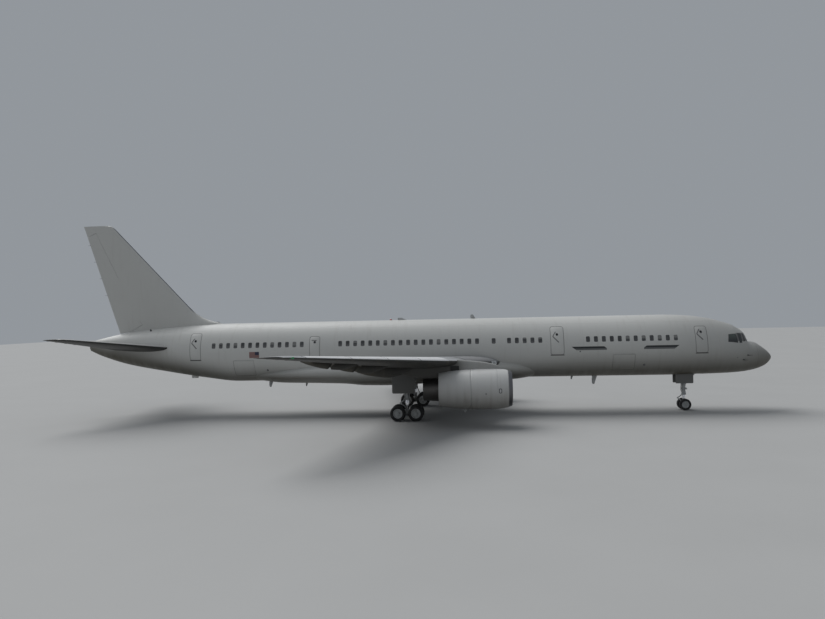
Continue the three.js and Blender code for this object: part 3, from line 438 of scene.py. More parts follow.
# Slat paint darkened as painted shadow, for the slat at the wing's root
SHADED_SLAT_METAL = painted("shaded_slat_metal", rgb(0.22, 0.22, 0.225), 0.25, 0.45, "bare_metal")
HANDLE_PAINT = plain_paint("handle_paint", rgb(0.13, 0.13, 0.13), dirt=0.3)
# Near-black plates as painted shade inside the pylon's vent openings
VENT_SHADE_BLACK = plain_paint("vent_shade_black", rgb(0.008, 0.008, 0.008), dirt=0.05)
PORT_GLASS = glazing("port_glass", rgb(0.018, 0.018, 0.020))
LAMP_GLASS = glazing("lamp_glass", rgb(0.75, 0.77, 0.78))
RED_GLASS = glazing("red_glass", rgb(0.38, 0.03, 0.02))
GREEN_GLASS = glazing("green_glass", rgb(0.02, 0.40, 0.12))
PATCH_PAINT = plain_paint("patch_paint", rgb(0.24, 0.14, 0.13), dirt=0.2)
PATCH_CORNER = plain_paint("patch_corner_paint", rgb(0.02, 0.025, 0.06), dirt=0.2)

floor_paint = Finish("floor_paint", "white_paint")
floor_tone = floor_paint.noise(0.35, detail=3)
floor_paint.drive(
    Base_Color=floor_paint.mixed(floor_tone, rgb(0.36, 0.36, 0.355), rgb(0.40, 0.40, 0.395)),
    Roughness=0.85 + floor_tone * 0.1,
)


# ---- Modelling ----
def choose(*pieces):
    bpy.ops.object.select_all(action="DESELECT")
    for piece in pieces:
        piece.select_set(True)
    bpy.context.view_layer.objects.active = pieces[0]


def start(primitive, **settings):
    bpy.ops.object.select_all(action="DESELECT")
    primitive(**settings)
    return bpy.context.object


@contextmanager
def editing(piece, kind="FACE"):
    choose(piece)
    bpy.ops.object.mode_set(mode="EDIT")
    bpy.ops.mesh.select_mode(type=kind)
    bpy.ops.mesh.select_all(action="SELECT")
    yield
    bpy.ops.object.mode_set(mode="OBJECT")


def pick(piece, test, kind="faces"):
    """In edit mode, selects the faces, edges or vertices that pass a test."""
    mesh = bmesh.from_edit_mesh(piece.data)
    bpy.ops.mesh.select_all(action="DESELECT")
    for element in getattr(mesh, kind):
        if test(element):
            element.select_set(True)
    mesh.select_flush_mode()
    bmesh.update_edit_mesh(piece.data)


def settle(piece):
    choose(piece)
    bpy.ops.object.transform_apply(location=True, rotation=True, scale=True)
    return piece


def modified(piece, kind, **settings):
    choose(piece)
    modifier = piece.modifiers.new(kind.lower(), kind)
    for key, value in settings.items():
        setattr(modifier, key, value)
    bpy.ops.object.modifier_apply(modifier=modifier.name)
    return piece


def bevelled(piece, width, segments=2, angle=40):
    return modified(piece, "BEVEL", width=width, segments=segments, limit_method="ANGLE", angle_limit=radians(angle))


def copied(piece):
    twin = piece.copy()
    twin.data = piece.data.copy()
    bpy.context.scene.collection.objects.link(twin)
    return twin


def dropped(*pieces):
    for piece in pieces:
        bpy.data.objects.remove(piece)


def cut(piece, tool, way="DIFFERENCE", **settings):
    modified(piece, "BOOLEAN", object=tool, operation=way, solver="MANIFOLD", **settings)
    dropped(tool)
    return piece


def joined(pieces):
    choose(*pieces)
    if len(pieces) > 1:
        bpy.ops.object.join()
    return pieces[0]


def outward(piece):
    with editing(piece):
        bpy.ops.mesh.normals_make_consistent(inside=False)
    return piece


def coated(piece, finishes):
    for finish in finishes:
        piece.data.materials.append(finish.material)
    return piece


def underneath(piece, over, under):
    """Gives the faces that don't look well upward the second finish, a darker copy as painted shade."""
    settle(piece)
    piece.data.materials.clear()
    coated(piece, [over, under])
    for face in piece.data.polygons:
        face.material_index = int(face.normal.z < 0.55)
    return piece


SMOOTH_ANGLE = radians(30)


def done(piece, name, finish, body="airframe", stands_for=()):
    """Names a piece, gives it its finish, and sets it on its body."""
    settle(piece)
    piece.name = piece.data.name = name
    finishes = finish if isinstance(finish, (list, tuple)) else [finish]
    if not any(piece.data.materials):
        piece.data.materials.clear()
        coated(piece, finishes)
    choose(piece)
    bpy.ops.object.shade_smooth_by_angle(angle=SMOOTH_ANGLE)
    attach(piece, body)
    if stands_for:
        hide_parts(*stands_for)
    return piece


def reflected(piece):
    twin = copied(piece)
    twin.data.transform(Matrix.Diagonal((1, -1, 1, 1)))
    twin.data.flip_normals()
    return twin


def both(piece, name, finish, body="airframe", stands_for=(), sided=False):
    """A port piece and its mirror image; sided bodies and nodes carry left and right in their names."""
    settle(piece)
    twin = reflected(piece)
    for each, (_, side) in zip((piece, twin), SIDES):
        rides = f"{body}_{side}" if sided else body
        done(each, f"{name}_{side}", finish, rides, [f"{node}_{side}" for node in stands_for])


def laid(piece, places):
    piece.data.vertices.foreach_set("co", np.array(places, float).ravel())
    piece.data.update()


def lofted(rings):
    """A grid laid over rings of points, sewn along its seam and closed at its ends."""
    columns, rows = len(rings[0]), len(rings) - 1
    piece = start(bpy.ops.mesh.primitive_grid_add, x_subdivisions=columns, y_subdivisions=rows, size=1)
    laid(piece, [place for ring in rings for place in (*ring, ring[0])])
    with editing(piece, "VERT"):
        bpy.ops.mesh.remove_doubles(threshold=1e-5)
        bpy.ops.mesh.fill_holes(sides=0)
        bpy.ops.mesh.normals_make_consistent(inside=False)
    return piece


SPIN_PLACES = {
    (1, 0, 0): lambda station, radius: at(station, 0, radius),
    (0, 1, 0): lambda out, radius: (0, out * SCALE, radius * SCALE),
    (0, 0, 1): lambda height, radius: (radius * SCALE, 0, height * SCALE),
}


def turned(profile, centre, *, steps, closed=False, axis=(1, 0, 0)):
    """Places along an axis and radii, spun about the line through a centre."""
    piece = start(bpy.ops.mesh.primitive_circle_add, vertices=len(profile))
    laid(piece, [SPIN_PLACES[axis](place, radius) for place, radius in profile])
    with editing(piece, "EDGE"):
        if not closed:
            first, last = 0, len(profile) - 1
            pick(piece, lambda e: {v.index for v in e.verts} == {first, last}, "edges")
            bpy.ops.mesh.delete(type="EDGE")
        bpy.ops.mesh.select_all(action="SELECT")
        bpy.ops.mesh.spin(steps=steps, angle=2 * pi, center=(0, 0, 0), axis=axis)
        bpy.ops.mesh.select_all(action="SELECT")
        bpy.ops.mesh.remove_doubles(threshold=1e-5)
        bpy.ops.mesh.normals_make_consistent(inside=False)
    piece.location = centre
    return settle(piece)


def through(points, steps):
    """A smooth line through points, with a few steps between each two."""
    p = [np.array(q, float) for q in points]
    p = [2 * p[0] - p[1], *p, 2 * p[-1] - p[-2]]
    line = []
    for a, b, c, d in zip(p, p[1:], p[2:], p[3:]):
        for t in np.arange(steps) / steps:
            straight = 2 * b + (c - a) * t
            line.append(0.5 * (straight + (2 * a - 5 * b + 4 * c - d) * t**2 + (3 * b - a - 3 * c + d) * t**3))
    return [*line, p[-2]]


def aimed(piece, origin, along):
    """Turns a piece's own Z towards a direction and sets it down at a place."""
    turn = Vector((0, 0, 1)).rotation_difference(Vector(along))
    piece.matrix_world = Matrix.Translation(origin) @ turn.to_matrix().to_4x4()
    return settle(piece)


def rod(a, b, radius, rim=0.12, end=None, sides=20):
    """A round bar between two places, with stepped and rounded ends; radii in real metres."""
    a, b = Vector(a), Vector(b)
    end = radius if end is None else end
    length = (b - a).length
    piece = start(
        bpy.ops.mesh.primitive_cone_add,
        vertices=sides, radius1=radius * SCALE, radius2=end * SCALE, depth=length,
    )
    with editing(piece):
        for way in (-1, 1):
            pick(piece, lambda f: f.normal.z * way > 0.99)
            bpy.ops.mesh.inset(thickness=radius * SCALE * 0.22)
            shift = Vector((0, 0, way * radius * SCALE * rim))
            bpy.ops.mesh.extrude_region_move(TRANSFORM_OT_translate={"value": shift})
    bevelled(piece, radius * SCALE * 0.06, 2)
    return aimed(piece, (a + b) / 2, b - a)


def block(low, high, bevel):
    """A box between two corners with rounded edges; the bevel in real metres."""
    low, high = Vector(low), Vector(high)
    piece = start(bpy.ops.mesh.primitive_cube_add, size=1, location=(low + high) / 2)
    piece.scale = [abs(v) for v in high - low]
    settle(piece)
    return bevelled(piece, bevel * SCALE, 3)


def plate(width, height, corner, segments=3):
    """A flat sheet in the XY plane with rounded corners."""
    piece = start(bpy.ops.mesh.primitive_plane_add, size=1)
    piece.scale = (width, height, 1)
    settle(piece)
    with editing(piece, "VERT"):
        bpy.ops.mesh.bevel(offset=corner, affect="VERTICES", segments=segments)
    return piece


def thickened(piece, low, high):
    """A flat sheet to a slab between two levels."""
    piece.location.z = low
    settle(piece)
    with editing(piece):
        bpy.ops.mesh.extrude_region_move(TRANSFORM_OT_translate={"value": (0, 0, high - low)})
        bpy.ops.mesh.select_all(action="SELECT")
        bpy.ops.mesh.normals_make_consistent(inside=False)
    return piece


def sliced(piece, axis, places):
    with editing(piece):
        for place in places:
            spot, normal = [0, 0, 0], [0, 0, 0]
            spot[axis], normal[axis] = place, 1
            bpy.ops.mesh.select_all(action="SELECT")
            bpy.ops.mesh.bisect(plane_co=spot, plane_no=normal)
    return piece


ARM_PIN = Vector((0, 1, 0))


def arm(a, b, wide_a, wide_b, thick):
    """A flat tapered bar between two places, hollowed on both faces; sizes in real metres."""
    a, b = Vector(a), Vector(b)
    lift = (b - a).cross(ARM_PIN).normalized()
    piece = start(bpy.ops.mesh.primitive_cube_add, size=2)
    places = []
    for v in piece.data.vertices:
        end, wide = (b, wide_b) if v.co.z > 0 else (a, wide_a)
        places.append(end + (ARM_PIN * v.co.x * wide + lift * v.co.y * thick) * SCALE / 2)
    laid(piece, places)
    outward(piece)
    with editing(piece):
        pick(piece, lambda f: abs(f.normal.dot(lift)) > 0.95)
        rim = min(wide_a, wide_b) * SCALE
        bpy.ops.mesh.inset(thickness=0.2 * rim, depth=-0.25 * thick * SCALE, use_individual=True)
    return bevelled(piece, thick * SCALE * 0.12, 2)


PIPE_TURNS = [k / 8 * 2 * pi for k in range(8)]


def heading(line, i):
    """The way that a line of places runs at one of them."""
    return line[min(i + 1, len(line) - 1)] - line[max(i - 1, 0)]


def pipe(points, radius):
    """A pipe or hose along a smooth line through places; its radius in real metres."""
    line = [Vector(place) for place in through(points, 5)]
    rings, across = [], None
    for i, place in enumerate(line):
        along = heading(line, i).normalized()
        across = (along.orthogonal() if across is None else across - along * across.dot(along)).normalized()
        other = along.cross(across)
        rings.append([place + (across * cos(t) + other * sin(t)) * radius * SCALE for t in PIPE_TURNS])
    return lofted(rings)


def wrapped(piece, spot):
    """Lays a flat piece on a surface: spot gives the place for its X, Y and lift."""
    laid(piece, [spot(*v.co) for v in piece.data.vertices])
    return outward(piece)


SHEET = (-0.004, 0.0015)  # levels of a thin sheet on a skin, in model metres


def slices(piece, axis, count, size=1.0):
    """Cuts a flat piece across at even steps, so that it can bend."""
    return sliced(piece, axis, np.linspace(-0.5, 0.5, count)[1:-1] * size)


def sunken(piece, rim, depth, lining=None):
    """Sinks a flat piece's upper face inside a rim, and again insets what has sunk if it has a lining."""
    with editing(piece):
        pick(piece, lambda f: f.normal.z > 0.9)
        bpy.ops.mesh.inset(thickness=rim)
        bpy.ops.mesh.extrude_region_move(TRANSFORM_OT_translate={"value": (0, 0, -depth)})
        if lining:
            bpy.ops.mesh.inset(thickness=lining)


def inner_finish(piece, half_x, half_y):
    """Gives the upward faces within a half width and a half height the piece's second finish."""
    for face in piece.data.polygons:
        corners = [piece.data.vertices[i].co for i in face.vertices]
        inner = all(abs(c.x) < half_x and abs(c.y) < half_y for c in corners)
        face.material_index = int(inner and face.normal.z > 0.9)


# ---- Body shapes ----
class Curve:
    """A table as a smooth curve of its first column, which rises and falls only where the table does."""

    def __init__(self, rows, root=False):
        self.rows = np.array(rows, float)
        self.key = np.sqrt if root else np.asarray
        self.x = self.key(self.rows[:, 0])
        slope = np.diff(self.rows, axis=0) / np.diff(self.x)[:, None]
        product = slope[:-1] * slope[1:]
        total = np.where(product > 0, slope[:-1] + slope[1:], 1)
        inner = np.where(product > 0, 2 * product / total, 0)
        self.slope = np.vstack([slope[:1], inner, slope[-1:]])

    def __call__(self, value):
        place = self.key(max(value, 0))
        i = int(np.clip(np.searchsorted(self.x, place) - 1, 0, len(self.x) - 2))
        step = self.x[i + 1] - self.x[i]
        t = (place - self.x[i]) / step
        low, high = self.rows[i], self.rows[i + 1]
        bend = self.slope[i] * (1 - t) - self.slope[i + 1] * t
        flat = low + (high - low) * t * t * (3 - 2 * t)
        return flat + step * t * (1 - t) * bend


FUSELAGE = Curve([
    [0.00, 3.50, 3.42, 0.04, 3.46], [0.10, 3.69, 3.21, 0.27, 3.46], [0.45, 4.03, 2.91, 0.60, 3.47],
    [0.75, 4.245, 2.77, 0.78, 3.49], [1.05, 4.445, 2.67, 0.92, 3.52], [1.30, 4.50, 2.61, 1.03, 3.56],
    [1.50, 4.51, 2.57, 1.11, 3.60], [1.62, 4.58, 2.55, 1.155, 3.63], [1.76, 4.84, 2.525, 1.206, 3.67],
    [1.90, 5.215, 2.51, 1.253, 3.705], [2.08, 5.37, 2.49, 1.31, 3.75], [2.30, 5.51, 2.47, 1.37, 3.80],
    [2.60, 5.69, 2.45, 1.444, 3.87], [3.01, 5.83, 2.43, 1.53, 3.96], [4.08, 6.12, 2.40, 1.69, 4.14],
    [5.30, 6.31, 2.38, 1.81, 4.28], [7.20, 6.40, 2.36, 1.88, 4.36], [36.00, 6.40, 2.36, 1.88, 4.36],
    [38.30, 6.37, 2.62, 1.79, 4.50], [41.30, 6.20, 3.11, 1.45, 4.68], [44.00, 5.90, 3.62, 0.98, 4.82],
    [46.00, 5.52, 4.24, 0.52, 4.90], [46.85, 5.28, 4.62, 0.30, 4.95],
], root=True)
BELLY = Curve([
    [15.20, 3.30, 2.50, 0.90, 2.90], [17.00, 3.70, 2.23, 1.93, 3.00], [19.50, 4.00, 2.15, 2.16, 3.10],
    [23.00, 4.00, 2.01, 2.18, 3.10], [25.50, 4.00, 1.92, 2.18, 3.08], [27.20, 3.95, 1.95, 2.16, 3.05],
    [28.40, 3.85, 2.07, 2.11, 3.03], [30.00, 3.70, 2.13, 2.02, 3.00], [32.80, 3.30, 2.20, 1.70, 2.90],
    [35.20, 3.00, 2.50, 0.80, 2.80],
])


def body_place(shape, station, turn):
    """A place on a body at an angle from its crown, towards port."""
    _, top, keel, half, waist = shape(station)
    rise = top - waist if cos(turn) > 0 else waist - keel
    return at(station, half * sin(turn), waist + rise * cos(turn))


def on_body(station, turn, lift):
    """A place on the fuselage, raised off its skin by a lift in real metres."""
    place = body_place(FUSELAGE, station, turn)
    along = body_place(FUSELAGE, station + 0.02, turn) - body_place(FUSELAGE, station - 0.02, turn)
    around = body_place(FUSELAGE, station, turn + 0.01) - body_place(FUSELAGE, station, turn - 0.01)
    normal = around.cross(along).normalized()
    return place + normal * lift * SCALE


def turn_at(station, height, side):
    _, top, keel, _, waist = FUSELAGE(station)
    rise = top - waist if height > waist else waist - keel
    return side * acos(min(1, max(-1, (height - waist) / rise)))


def on_side(station, height, side, lift):
    return on_body(station, turn_at(station, height, side), lift)


def side_spot(station, height, side):
    """Lays a flat piece on the fuselage side: its X forward, its Y up, its Z outward."""
    def spot(x, y, z):
        return on_side(station - x / SCALE, height + y / SCALE, side, z / SCALE)
    return spot


def hinge_bar(a, b, radius):
    piece = start(bpy.ops.mesh.primitive_cylinder_add, vertices=24, radius=radius, depth=(b - a).length)
    return aimed(piece, (a + b) / 2, b - a)


def hull(shape, stations, sides):
    return lofted([[body_place(shape, s, i / sides * 2 * pi) for i in range(sides)] for s in stations])


def stations_between(first, last, step):
    return np.linspace(first, last, max(2, int(round((last - first) / step)) + 1))


def door_slab(low, high, grow, side, fore, aft, sill, head, corner=0.13):
    width, height = (aft - fore) * SCALE + grow, (head - sill) * SCALE + grow
    piece = thickened(plate(width, height, corner * SCALE + grow / 2, 4), low, high)
    sliced(piece, 1, np.linspace(-height / 2, height / 2, 18)[1:-1])
    return wrapped(piece, side_spot((fore + aft) / 2, (sill + head) / 2, side))


SEAM = 0.0003
BROW_END = 3.2
BARRELS = [
    ("fuselage_forward", 1.15, 15.60), ("fuselage_centre", 15.60, 28.60), ("fuselage_aft", 28.60, 44.30),
]
for name, fore, aft in BARRELS:
    brow = stations_between(fore + SEAM, BROW_END, 0.06)[:-1] if fore < BROW_END else []
    rings = [*brow, *stations_between(max(fore + SEAM, BROW_END), aft - SEAM, 0.4)]
    barrel = coated(hull(FUSELAGE, rings, 96), [FUSELAGE_PAINT])
    for _, side, door_fore, door_aft, sill, head in DOORS:
        if fore < door_fore < aft:
            recess = door_slab(-0.045, 0.03, 0.006, side, door_fore, door_aft, sill, head)
            cut(barrel, coated(recess, [FUSELAGE_PAINT]))
    for door, door_fore, door_aft in CARGO_DOORS:
        if fore < door_fore < aft:
            # The hold's recess behind each cargo door, lined with dark painted shade
            hold = door_slab(-0.046, 0.03, 2 * CARGO_GAP, -1, door_fore, door_aft, CARGO_SILL, CARGO_HEAD, 0.06)
            cut(barrel, coated(hold, [HOLD_SHADE_PAINT]), material_mode="TRANSFER")
            line = [at(s, HINGE_OUT, HINGE_HEIGHT) for s in (door_fore + 0.002, door_aft - 0.002)]
            cut(barrel, coated(hinge_bar(*line, KNUCKLE + CARGO_GAP), [FUSELAGE_PAINT]))
            lugs = []
            for edge, way in ((door_fore, -1), (door_aft, 1)):
                lug = [at(edge + way * reach, HINGE_OUT, HINGE_HEIGHT) for reach in (0.014, 0.052)]
                lugs.append(rod(*lug, KNUCKLE / SCALE))
            done(joined(lugs), door + "_lugs", FUSELAGE_PAINT)
    if name == "fuselage_forward":
        well = block(at(6.30, -0.30, 1.5), at(4.60, 0.30, 3.05), 0.02)
        cut(barrel, coated(well, [WELL_PAINT]), material_mode="TRANSFER")
    done(barrel, name + "_skin", FUSELAGE_PAINT, stands_for=[name])

radome = hull(FUSELAGE, [*(1.15 * np.linspace(0.0, 1, 26) ** 2)], 96)
done(radome, "radome", FUSELAGE_PAINT, stands_for=["nose_radome"])
tail_cone = hull(FUSELAGE, stations_between(44.30, 46.85, 0.15), 96)
with editing(tail_cone):
    pick(tail_cone, lambda f: f.normal.x < -0.9 and len(f.verts) > 20)
    bpy.ops.mesh.inset(thickness=0.012)
    bpy.ops.mesh.inset(thickness=0.020)
    bpy.ops.mesh.extrude_region_move(TRANSFORM_OT_translate={"value": (0.10, 0, 0)})
done(tail_cone, "tail_cone_skin", FUSELAGE_PAINT, stands_for=["tail_cone"])
belly = hull(BELLY, stations_between(15.20, 35.20, 0.4), 72)
done(belly, "belly_fairing_skin", FUSELAGE_PAINT, stands_for=["belly_fairing"])

for name, fore, aft in CARGO_DOORS:
    leaf = bevelled(door_slab(-0.038, 0.0, 0, -1, fore, aft, CARGO_SILL, CARGO_HEAD, 0.06), 0.0015, 2, 50)
    knuckles = []
    for i in range(7):
        span = (aft - fore) / 7
        ends = [at(fore + (i + share) * span, HINGE_OUT, HINGE_HEIGHT) for share in (0.03, 0.97)]
        knuckles.append(rod(*ends, KNUCKLE / SCALE, sides=16))
    handle = thickened(plate(0.20 * SCALE, 0.10 * SCALE, 0.02 * SCALE), *SHEET)
    wrapped(handle, side_spot((fore + aft) / 2, CARGO_SILL + 0.22, -1))
    done(joined([leaf, *knuckles, handle]), name + "_leaf", FUSELAGE_PAINT, name, [name])

for name, side, fore, aft, sill, head in DOORS:
    leaf = bevelled(door_slab(-0.035, 0.0, 0, side, fore, aft, sill, head), 0.0015, 2, 50)
    done(leaf, name + "_leaf", FUSELAGE_PAINT, stands_for=[name])

# ---- Cabin windows ----
WINDOW_ROWS = [(6.61, 12), (15.28, 5), (18.32, 1), (19.41, 19), (31.17, 13)]
WINDOW_HEIGHT = 4.90


def window():
    """One cabin window: a proud rim round a sunken pane."""
    piece = thickened(plate(0.300 * SCALE, 0.410 * SCALE, 0.085 * SCALE, 3), -0.006, 0.002)
    sunken(piece, 0.022 * SCALE, 0.0015, 0.004 * SCALE)
    inner_finish(piece, 0.1285 * SCALE, 0.1835 * SCALE)
    return sliced(piece, 1, [-0.09, -0.045, 0, 0.045, 0.09])


master = coated(window(), [WHITE_PAINT, CABIN_GLASS])
for side, word in SIDES:
    panes = []
    for first, count in WINDOW_ROWS:
        for i in range(count):
            spot = side_spot(first + i * WINDOW_PITCH, WINDOW_HEIGHT, side)
            panes.append(wrapped(copied(master), spot))
    done(joined(panes), f"cabin_windows_{word}", [WHITE_PAINT, CABIN_GLASS])
dropped(master)

# ---- Cockpit glazing ----
# Side panes by their corners, as stations and degrees from the crown: aft and fore low, fore and aft high
SIDE_PANES = [
    [(3.212, 73.0), (2.530, 70.1), (2.618, 49.7), (3.125, 56.1)],
    [(2.430, 69.4), (2.252, 66.3), (2.233, 41.2), (2.475, 45.8)],
]
# The windshield's corners in the same order, as degrees from the crown and heights
WINDSHIELD = [(61.6, 4.545), (4.0, 4.60), (4.0, 5.06), (40.0, 5.02)]
PANE_CUTS = 7
PANE_RIM = 0.11


def skin_station(turn, height):
    """Where the nose's skin reaches a height, at an angle from the crown."""
    low, high = 1.2, 3.2
    for _ in range(24):
        middle = (low + high) / 2
        _, top, _, _, waist = FUSELAGE(middle)
        reaches = waist + (top - waist) * cos(turn) > height
        low, high = (low, middle) if reaches else (middle, high)
    return high


def side_place(side, station, turn, lift):
    return on_body(station, side * radians(turn), lift)


def front_place(side, turn, height, lift):
    turn = radians(turn)
    return on_body(skin_station(turn, height), side * turn, lift)


def pane(corners, side, place, rim=PANE_RIM):
    """A pane with its frame, laid on the nose between four corners."""
    piece = start(bpy.ops.mesh.primitive_plane_add, size=2)
    thickened(piece, -0.004, 0.003)
    sunken(piece, rim, 0.002)
    inner_finish(piece, 1 - rim * 0.9, 1 - rim * 0.9)
    for axis in (0, 1):
        sliced(piece, axis, np.linspace(-1, 1, PANE_CUTS + 2)[1:-1])
    a, b, c, d = [np.array(corner, float) for corner in corners]

    def spot(x, y, z):
        u, v = (x + 1) / 2, (y + 1) / 2
        return place(side, *((a * (1 - u) + b * u) * (1 - v) + (d * (1 - u) + c * u) * v), z / SCALE)
    return wrapped(coated(piece, [DARK_PAINT, COCKPIT_GLASS]), spot)


for side, word in SIDES:
    panes = [pane(corners, side, side_place) for corners in SIDE_PANES]
    panes.append(pane(WINDSHIELD, side, front_place, 0.06))
    done(joined(panes), f"cockpit_panes_{word}", [DARK_PAINT, COCKPIT_GLASS], stands_for=["cockpit_glazing"])

# ---- Wings ----
WING = [
    [1.20, 17.64, 8.50, 3.39, 3.0, 0.135], [6.80, 20.74, 5.96, 3.88, 1.5, 0.112],
    [18.55, 27.24, 1.84, 4.91, -0.3, 0.095], [18.86, 27.50, 1.56, 4.94, -0.3, 0.085],
    [19.02, 27.86, 1.06, 4.96, -0.3, 0.065],
]
TAILPLANE = [
    [0.20, 39.80, 4.95, 4.63, 0.0, 0.100], [7.30, 44.22, 1.62, 5.61, 0.0, 0.090],
    [7.52, 44.42, 1.38, 5.64, 0.0, 0.080], [7.605, 44.70, 0.95, 5.65, 0.0, 0.060],
]
FIN = [
    [5.40, 36.00, 8.60, 0.34], [6.40, 37.20, 7.72, 0.34], [6.58, 37.90, 7.09, 0.335],
    [6.80, 38.55, 6.51, 0.33], [7.15, 39.14, 6.04, 0.32], [7.60, 39.62, 5.71, 0.305],
    [13.30, 44.98, 2.25, 0.125], [13.50, 45.22, 2.08, 0.115], [13.56, 45.45, 1.87, 0.100],
]
WING_CAMBER = 0.006
CHORD_STEPS = (1 - np.cos(np.linspace(0, pi, 26))) / 2
TAIL_HALF = 0.003


def half_thickness(along):
    return 5 * (0.2969 * sqrt(along) - 0.126 * along - 0.3516 * along**2 + 0.2843 * along**3 - 0.1036 * along**4)


def section(ratio, camber, chord):
    """Points round a wing section in chords: over the top to the tail and back underneath."""
    def side(steps, way):
        return [
            (s, camber * 4 * s * (1 - s) + way * (half_thickness(s) * ratio + TAIL_HALF / chord * s))
            for s in steps
        ]
    return side(CHORD_STEPS, 1) + side(CHORD_STEPS[:0:-1], -1)


def wing_ring(row, camber):
    out, station, chord, height, incidence, ratio = row
    tilt = radians(incidence)
    ring = []
    for along, lift in section(ratio, camber, chord):
        back, up = along * chord, lift * chord
        ring.append(at(station + back * cos(tilt) + up * sin(tilt), out, height - back * sin(tilt) + up * cos(tilt)))
    return ring


def fin_ring(row):
    height, station, chord, half = row
    return [at(station + s * chord, side * chord, height) for s, side in section(half * 2 / chord, 0, chord)]


def row_at(table, first):
    i = next((i for i, row in enumerate(table) if row[0] >= first), len(table) - 1)
    low, high = np.array(table[max(0, i - 1)]), np.array(table[max(1, i)])
    return low + (high - low) * (first - low[0]) / (high[0] - low[0])


def wing_hinge(table, camber, stations, outs, low):
    """Hinge line of a surface: its ends, each with the radius from it to the upper skin."""
    ends = []
    for station, out in zip(stations, outs):
        _, nose, chord, height, incidence, ratio = row_at(table, out)
        along = (station - nose) / chord
        half = half_thickness(along) * ratio * chord
        up = camber * 4 * along * (1 - along) * chord - low * half
        drop = (station - nose) * tan(radians(incidence))
        ends.append((at(station, out, height - drop + up), (1 + low) * half * SCALE))
    return ends


def behind(middle, along, back, length, depth, tall):
    """A box that lies behind a line through the middle of its front face."""
    box = start(bpy.ops.mesh.primitive_cube_add, size=1)
    turn = Matrix((along, back, along.cross(back))).transposed().to_4x4()
    spread = Matrix.Diagonal((length, depth, tall, 1))
    box.matrix_world = Matrix.Translation(middle + back * depth / 2) @ turn @ spread
    return settle(box)


def hinge_axes(ends):
    """The direction of a hinge line, and the way aft from it."""
    (a, _), (b, _) = ends
    along = (b - a).normalized()
    return along, (Vector((-1, 0, 0)) + along * along.x).normalized()


def hinge_zone(ends, depth, room, nose):
    """What lies behind a hinge line, with a round nose about it."""
    (a, radius_a), (b, radius_b) = ends
    along, aft = hinge_axes(ends)
    length, middle = (b - a).length + 2 * room, (a + b) / 2
    slab = behind(middle, along, aft, length, depth, depth)
    roll = start(
        bpy.ops.mesh.primitive_cone_add,
        vertices=40, radius1=radius_a + nose, radius2=radius_b + nose, depth=length,
    )
    turn = Matrix((along.cross(aft), -aft, along)).transposed().to_4x4()
    roll.matrix_world = Matrix.Translation(middle) @ turn
    return cut(slab, settle(roll), "UNION")


# Fairings over the flap tracks: distance out, stations of the nose and tail, half width, depth
POD_SHAPE = Curve([
    [0, 0.06, 0.02], [0.12, 0.62, 0.50], [0.38, 1, 1], [0.62, 0.92, 0.92], [0.85, 0.5, 0.55], [1, 0.04, 0.08],
])
POD_TURNS = [i / 24 * 2 * pi for i in range(24)]
POD_LEAN = radians(34)
FIXED_POD = (6.92, 23.20, 27.50, 0.18, 0.64)
FLAP_PODS = [(10.00, 24.30, 28.10, 0.18, 0.48), (13.00, 25.50, 28.60, 0.15, 0.38)]


def underside(out, station):
    _, nose, chord, height, incidence, ratio = row_at(WING, out)
    along = min(1, (station - nose) / chord)
    lift = (WING_CAMBER * 4 * along * (1 - along) - half_thickness(along) * ratio) * chord
    return height - along * chord * tan(radians(incidence)) + lift


def pod(out, nose, tail, half, depth):
    """A canoe-shaped fairing over a flap track, its top inside the wing."""
    rings = []
    for along in CHORD_STEPS:
        station = nose + (tail - nose) * along
        _, width, deep = POD_SHAPE(along)
        top = underside(out, station) + 0.05
        rise = depth * deep / 2
        rings.append([at(station, out + half * width * sin(t), top - rise + rise * cos(t)) for t in POD_TURNS])
    return lofted(rings)


def leaning_slab(ends, depth):
    """What lies behind a plane through a hinge line that leans back as it goes down."""
    (a, _), (b, _) = ends
    along, aft = hinge_axes(ends)
    back = aft * cos(POD_LEAN) + along.cross(aft) * sin(POD_LEAN)
    return behind((a + b) / 2, along, back, 2 * (b - a).length, depth, 2 * depth)


def split(host, ends, depth, gap):
    """The surface behind a hinge line, taken off its host with a gap round it."""
    surface = copied(host)
    cut(surface, hinge_zone(ends, depth, 0, 0), "INTERSECT")
    cut(host, hinge_zone(ends, depth, gap, gap))
    return surface


TAIL_ROOM = 0.036


def clear_of_body(surface):
    """Cuts a tail surface back from the fuselage, so that it turns clear of it."""
    grown = Curve(FUSELAGE.rows + np.array([0, TAIL_ROOM, -TAIL_ROOM, TAIL_ROOM, 0]), True)
    return cut(surface, hull(grown, stations_between(38, 46.85, 0.5), 48))


WING_OUTS = (1.2, 3.0, 4.9, 6.8, 8.7, 10.7, 12.7, 14.7, 16.6, 18.0, 18.55, 18.70, 18.86, 18.94, 19.02)
TAIL_OUTS = (0.2, 2.0, 3.8, 5.6, 7.3, 7.42, 7.52, 7.57, 7.605)
FIN_HEIGHTS = (
    5.4, 6.0, 6.4, 6.5, 6.58, 6.68, 6.8, 6.97, 7.15, 7.38, 7.6, 9.0, 10.4, 11.8, 13.0, 13.3, 13.4, 13.5, 13.53, 13.56,
)
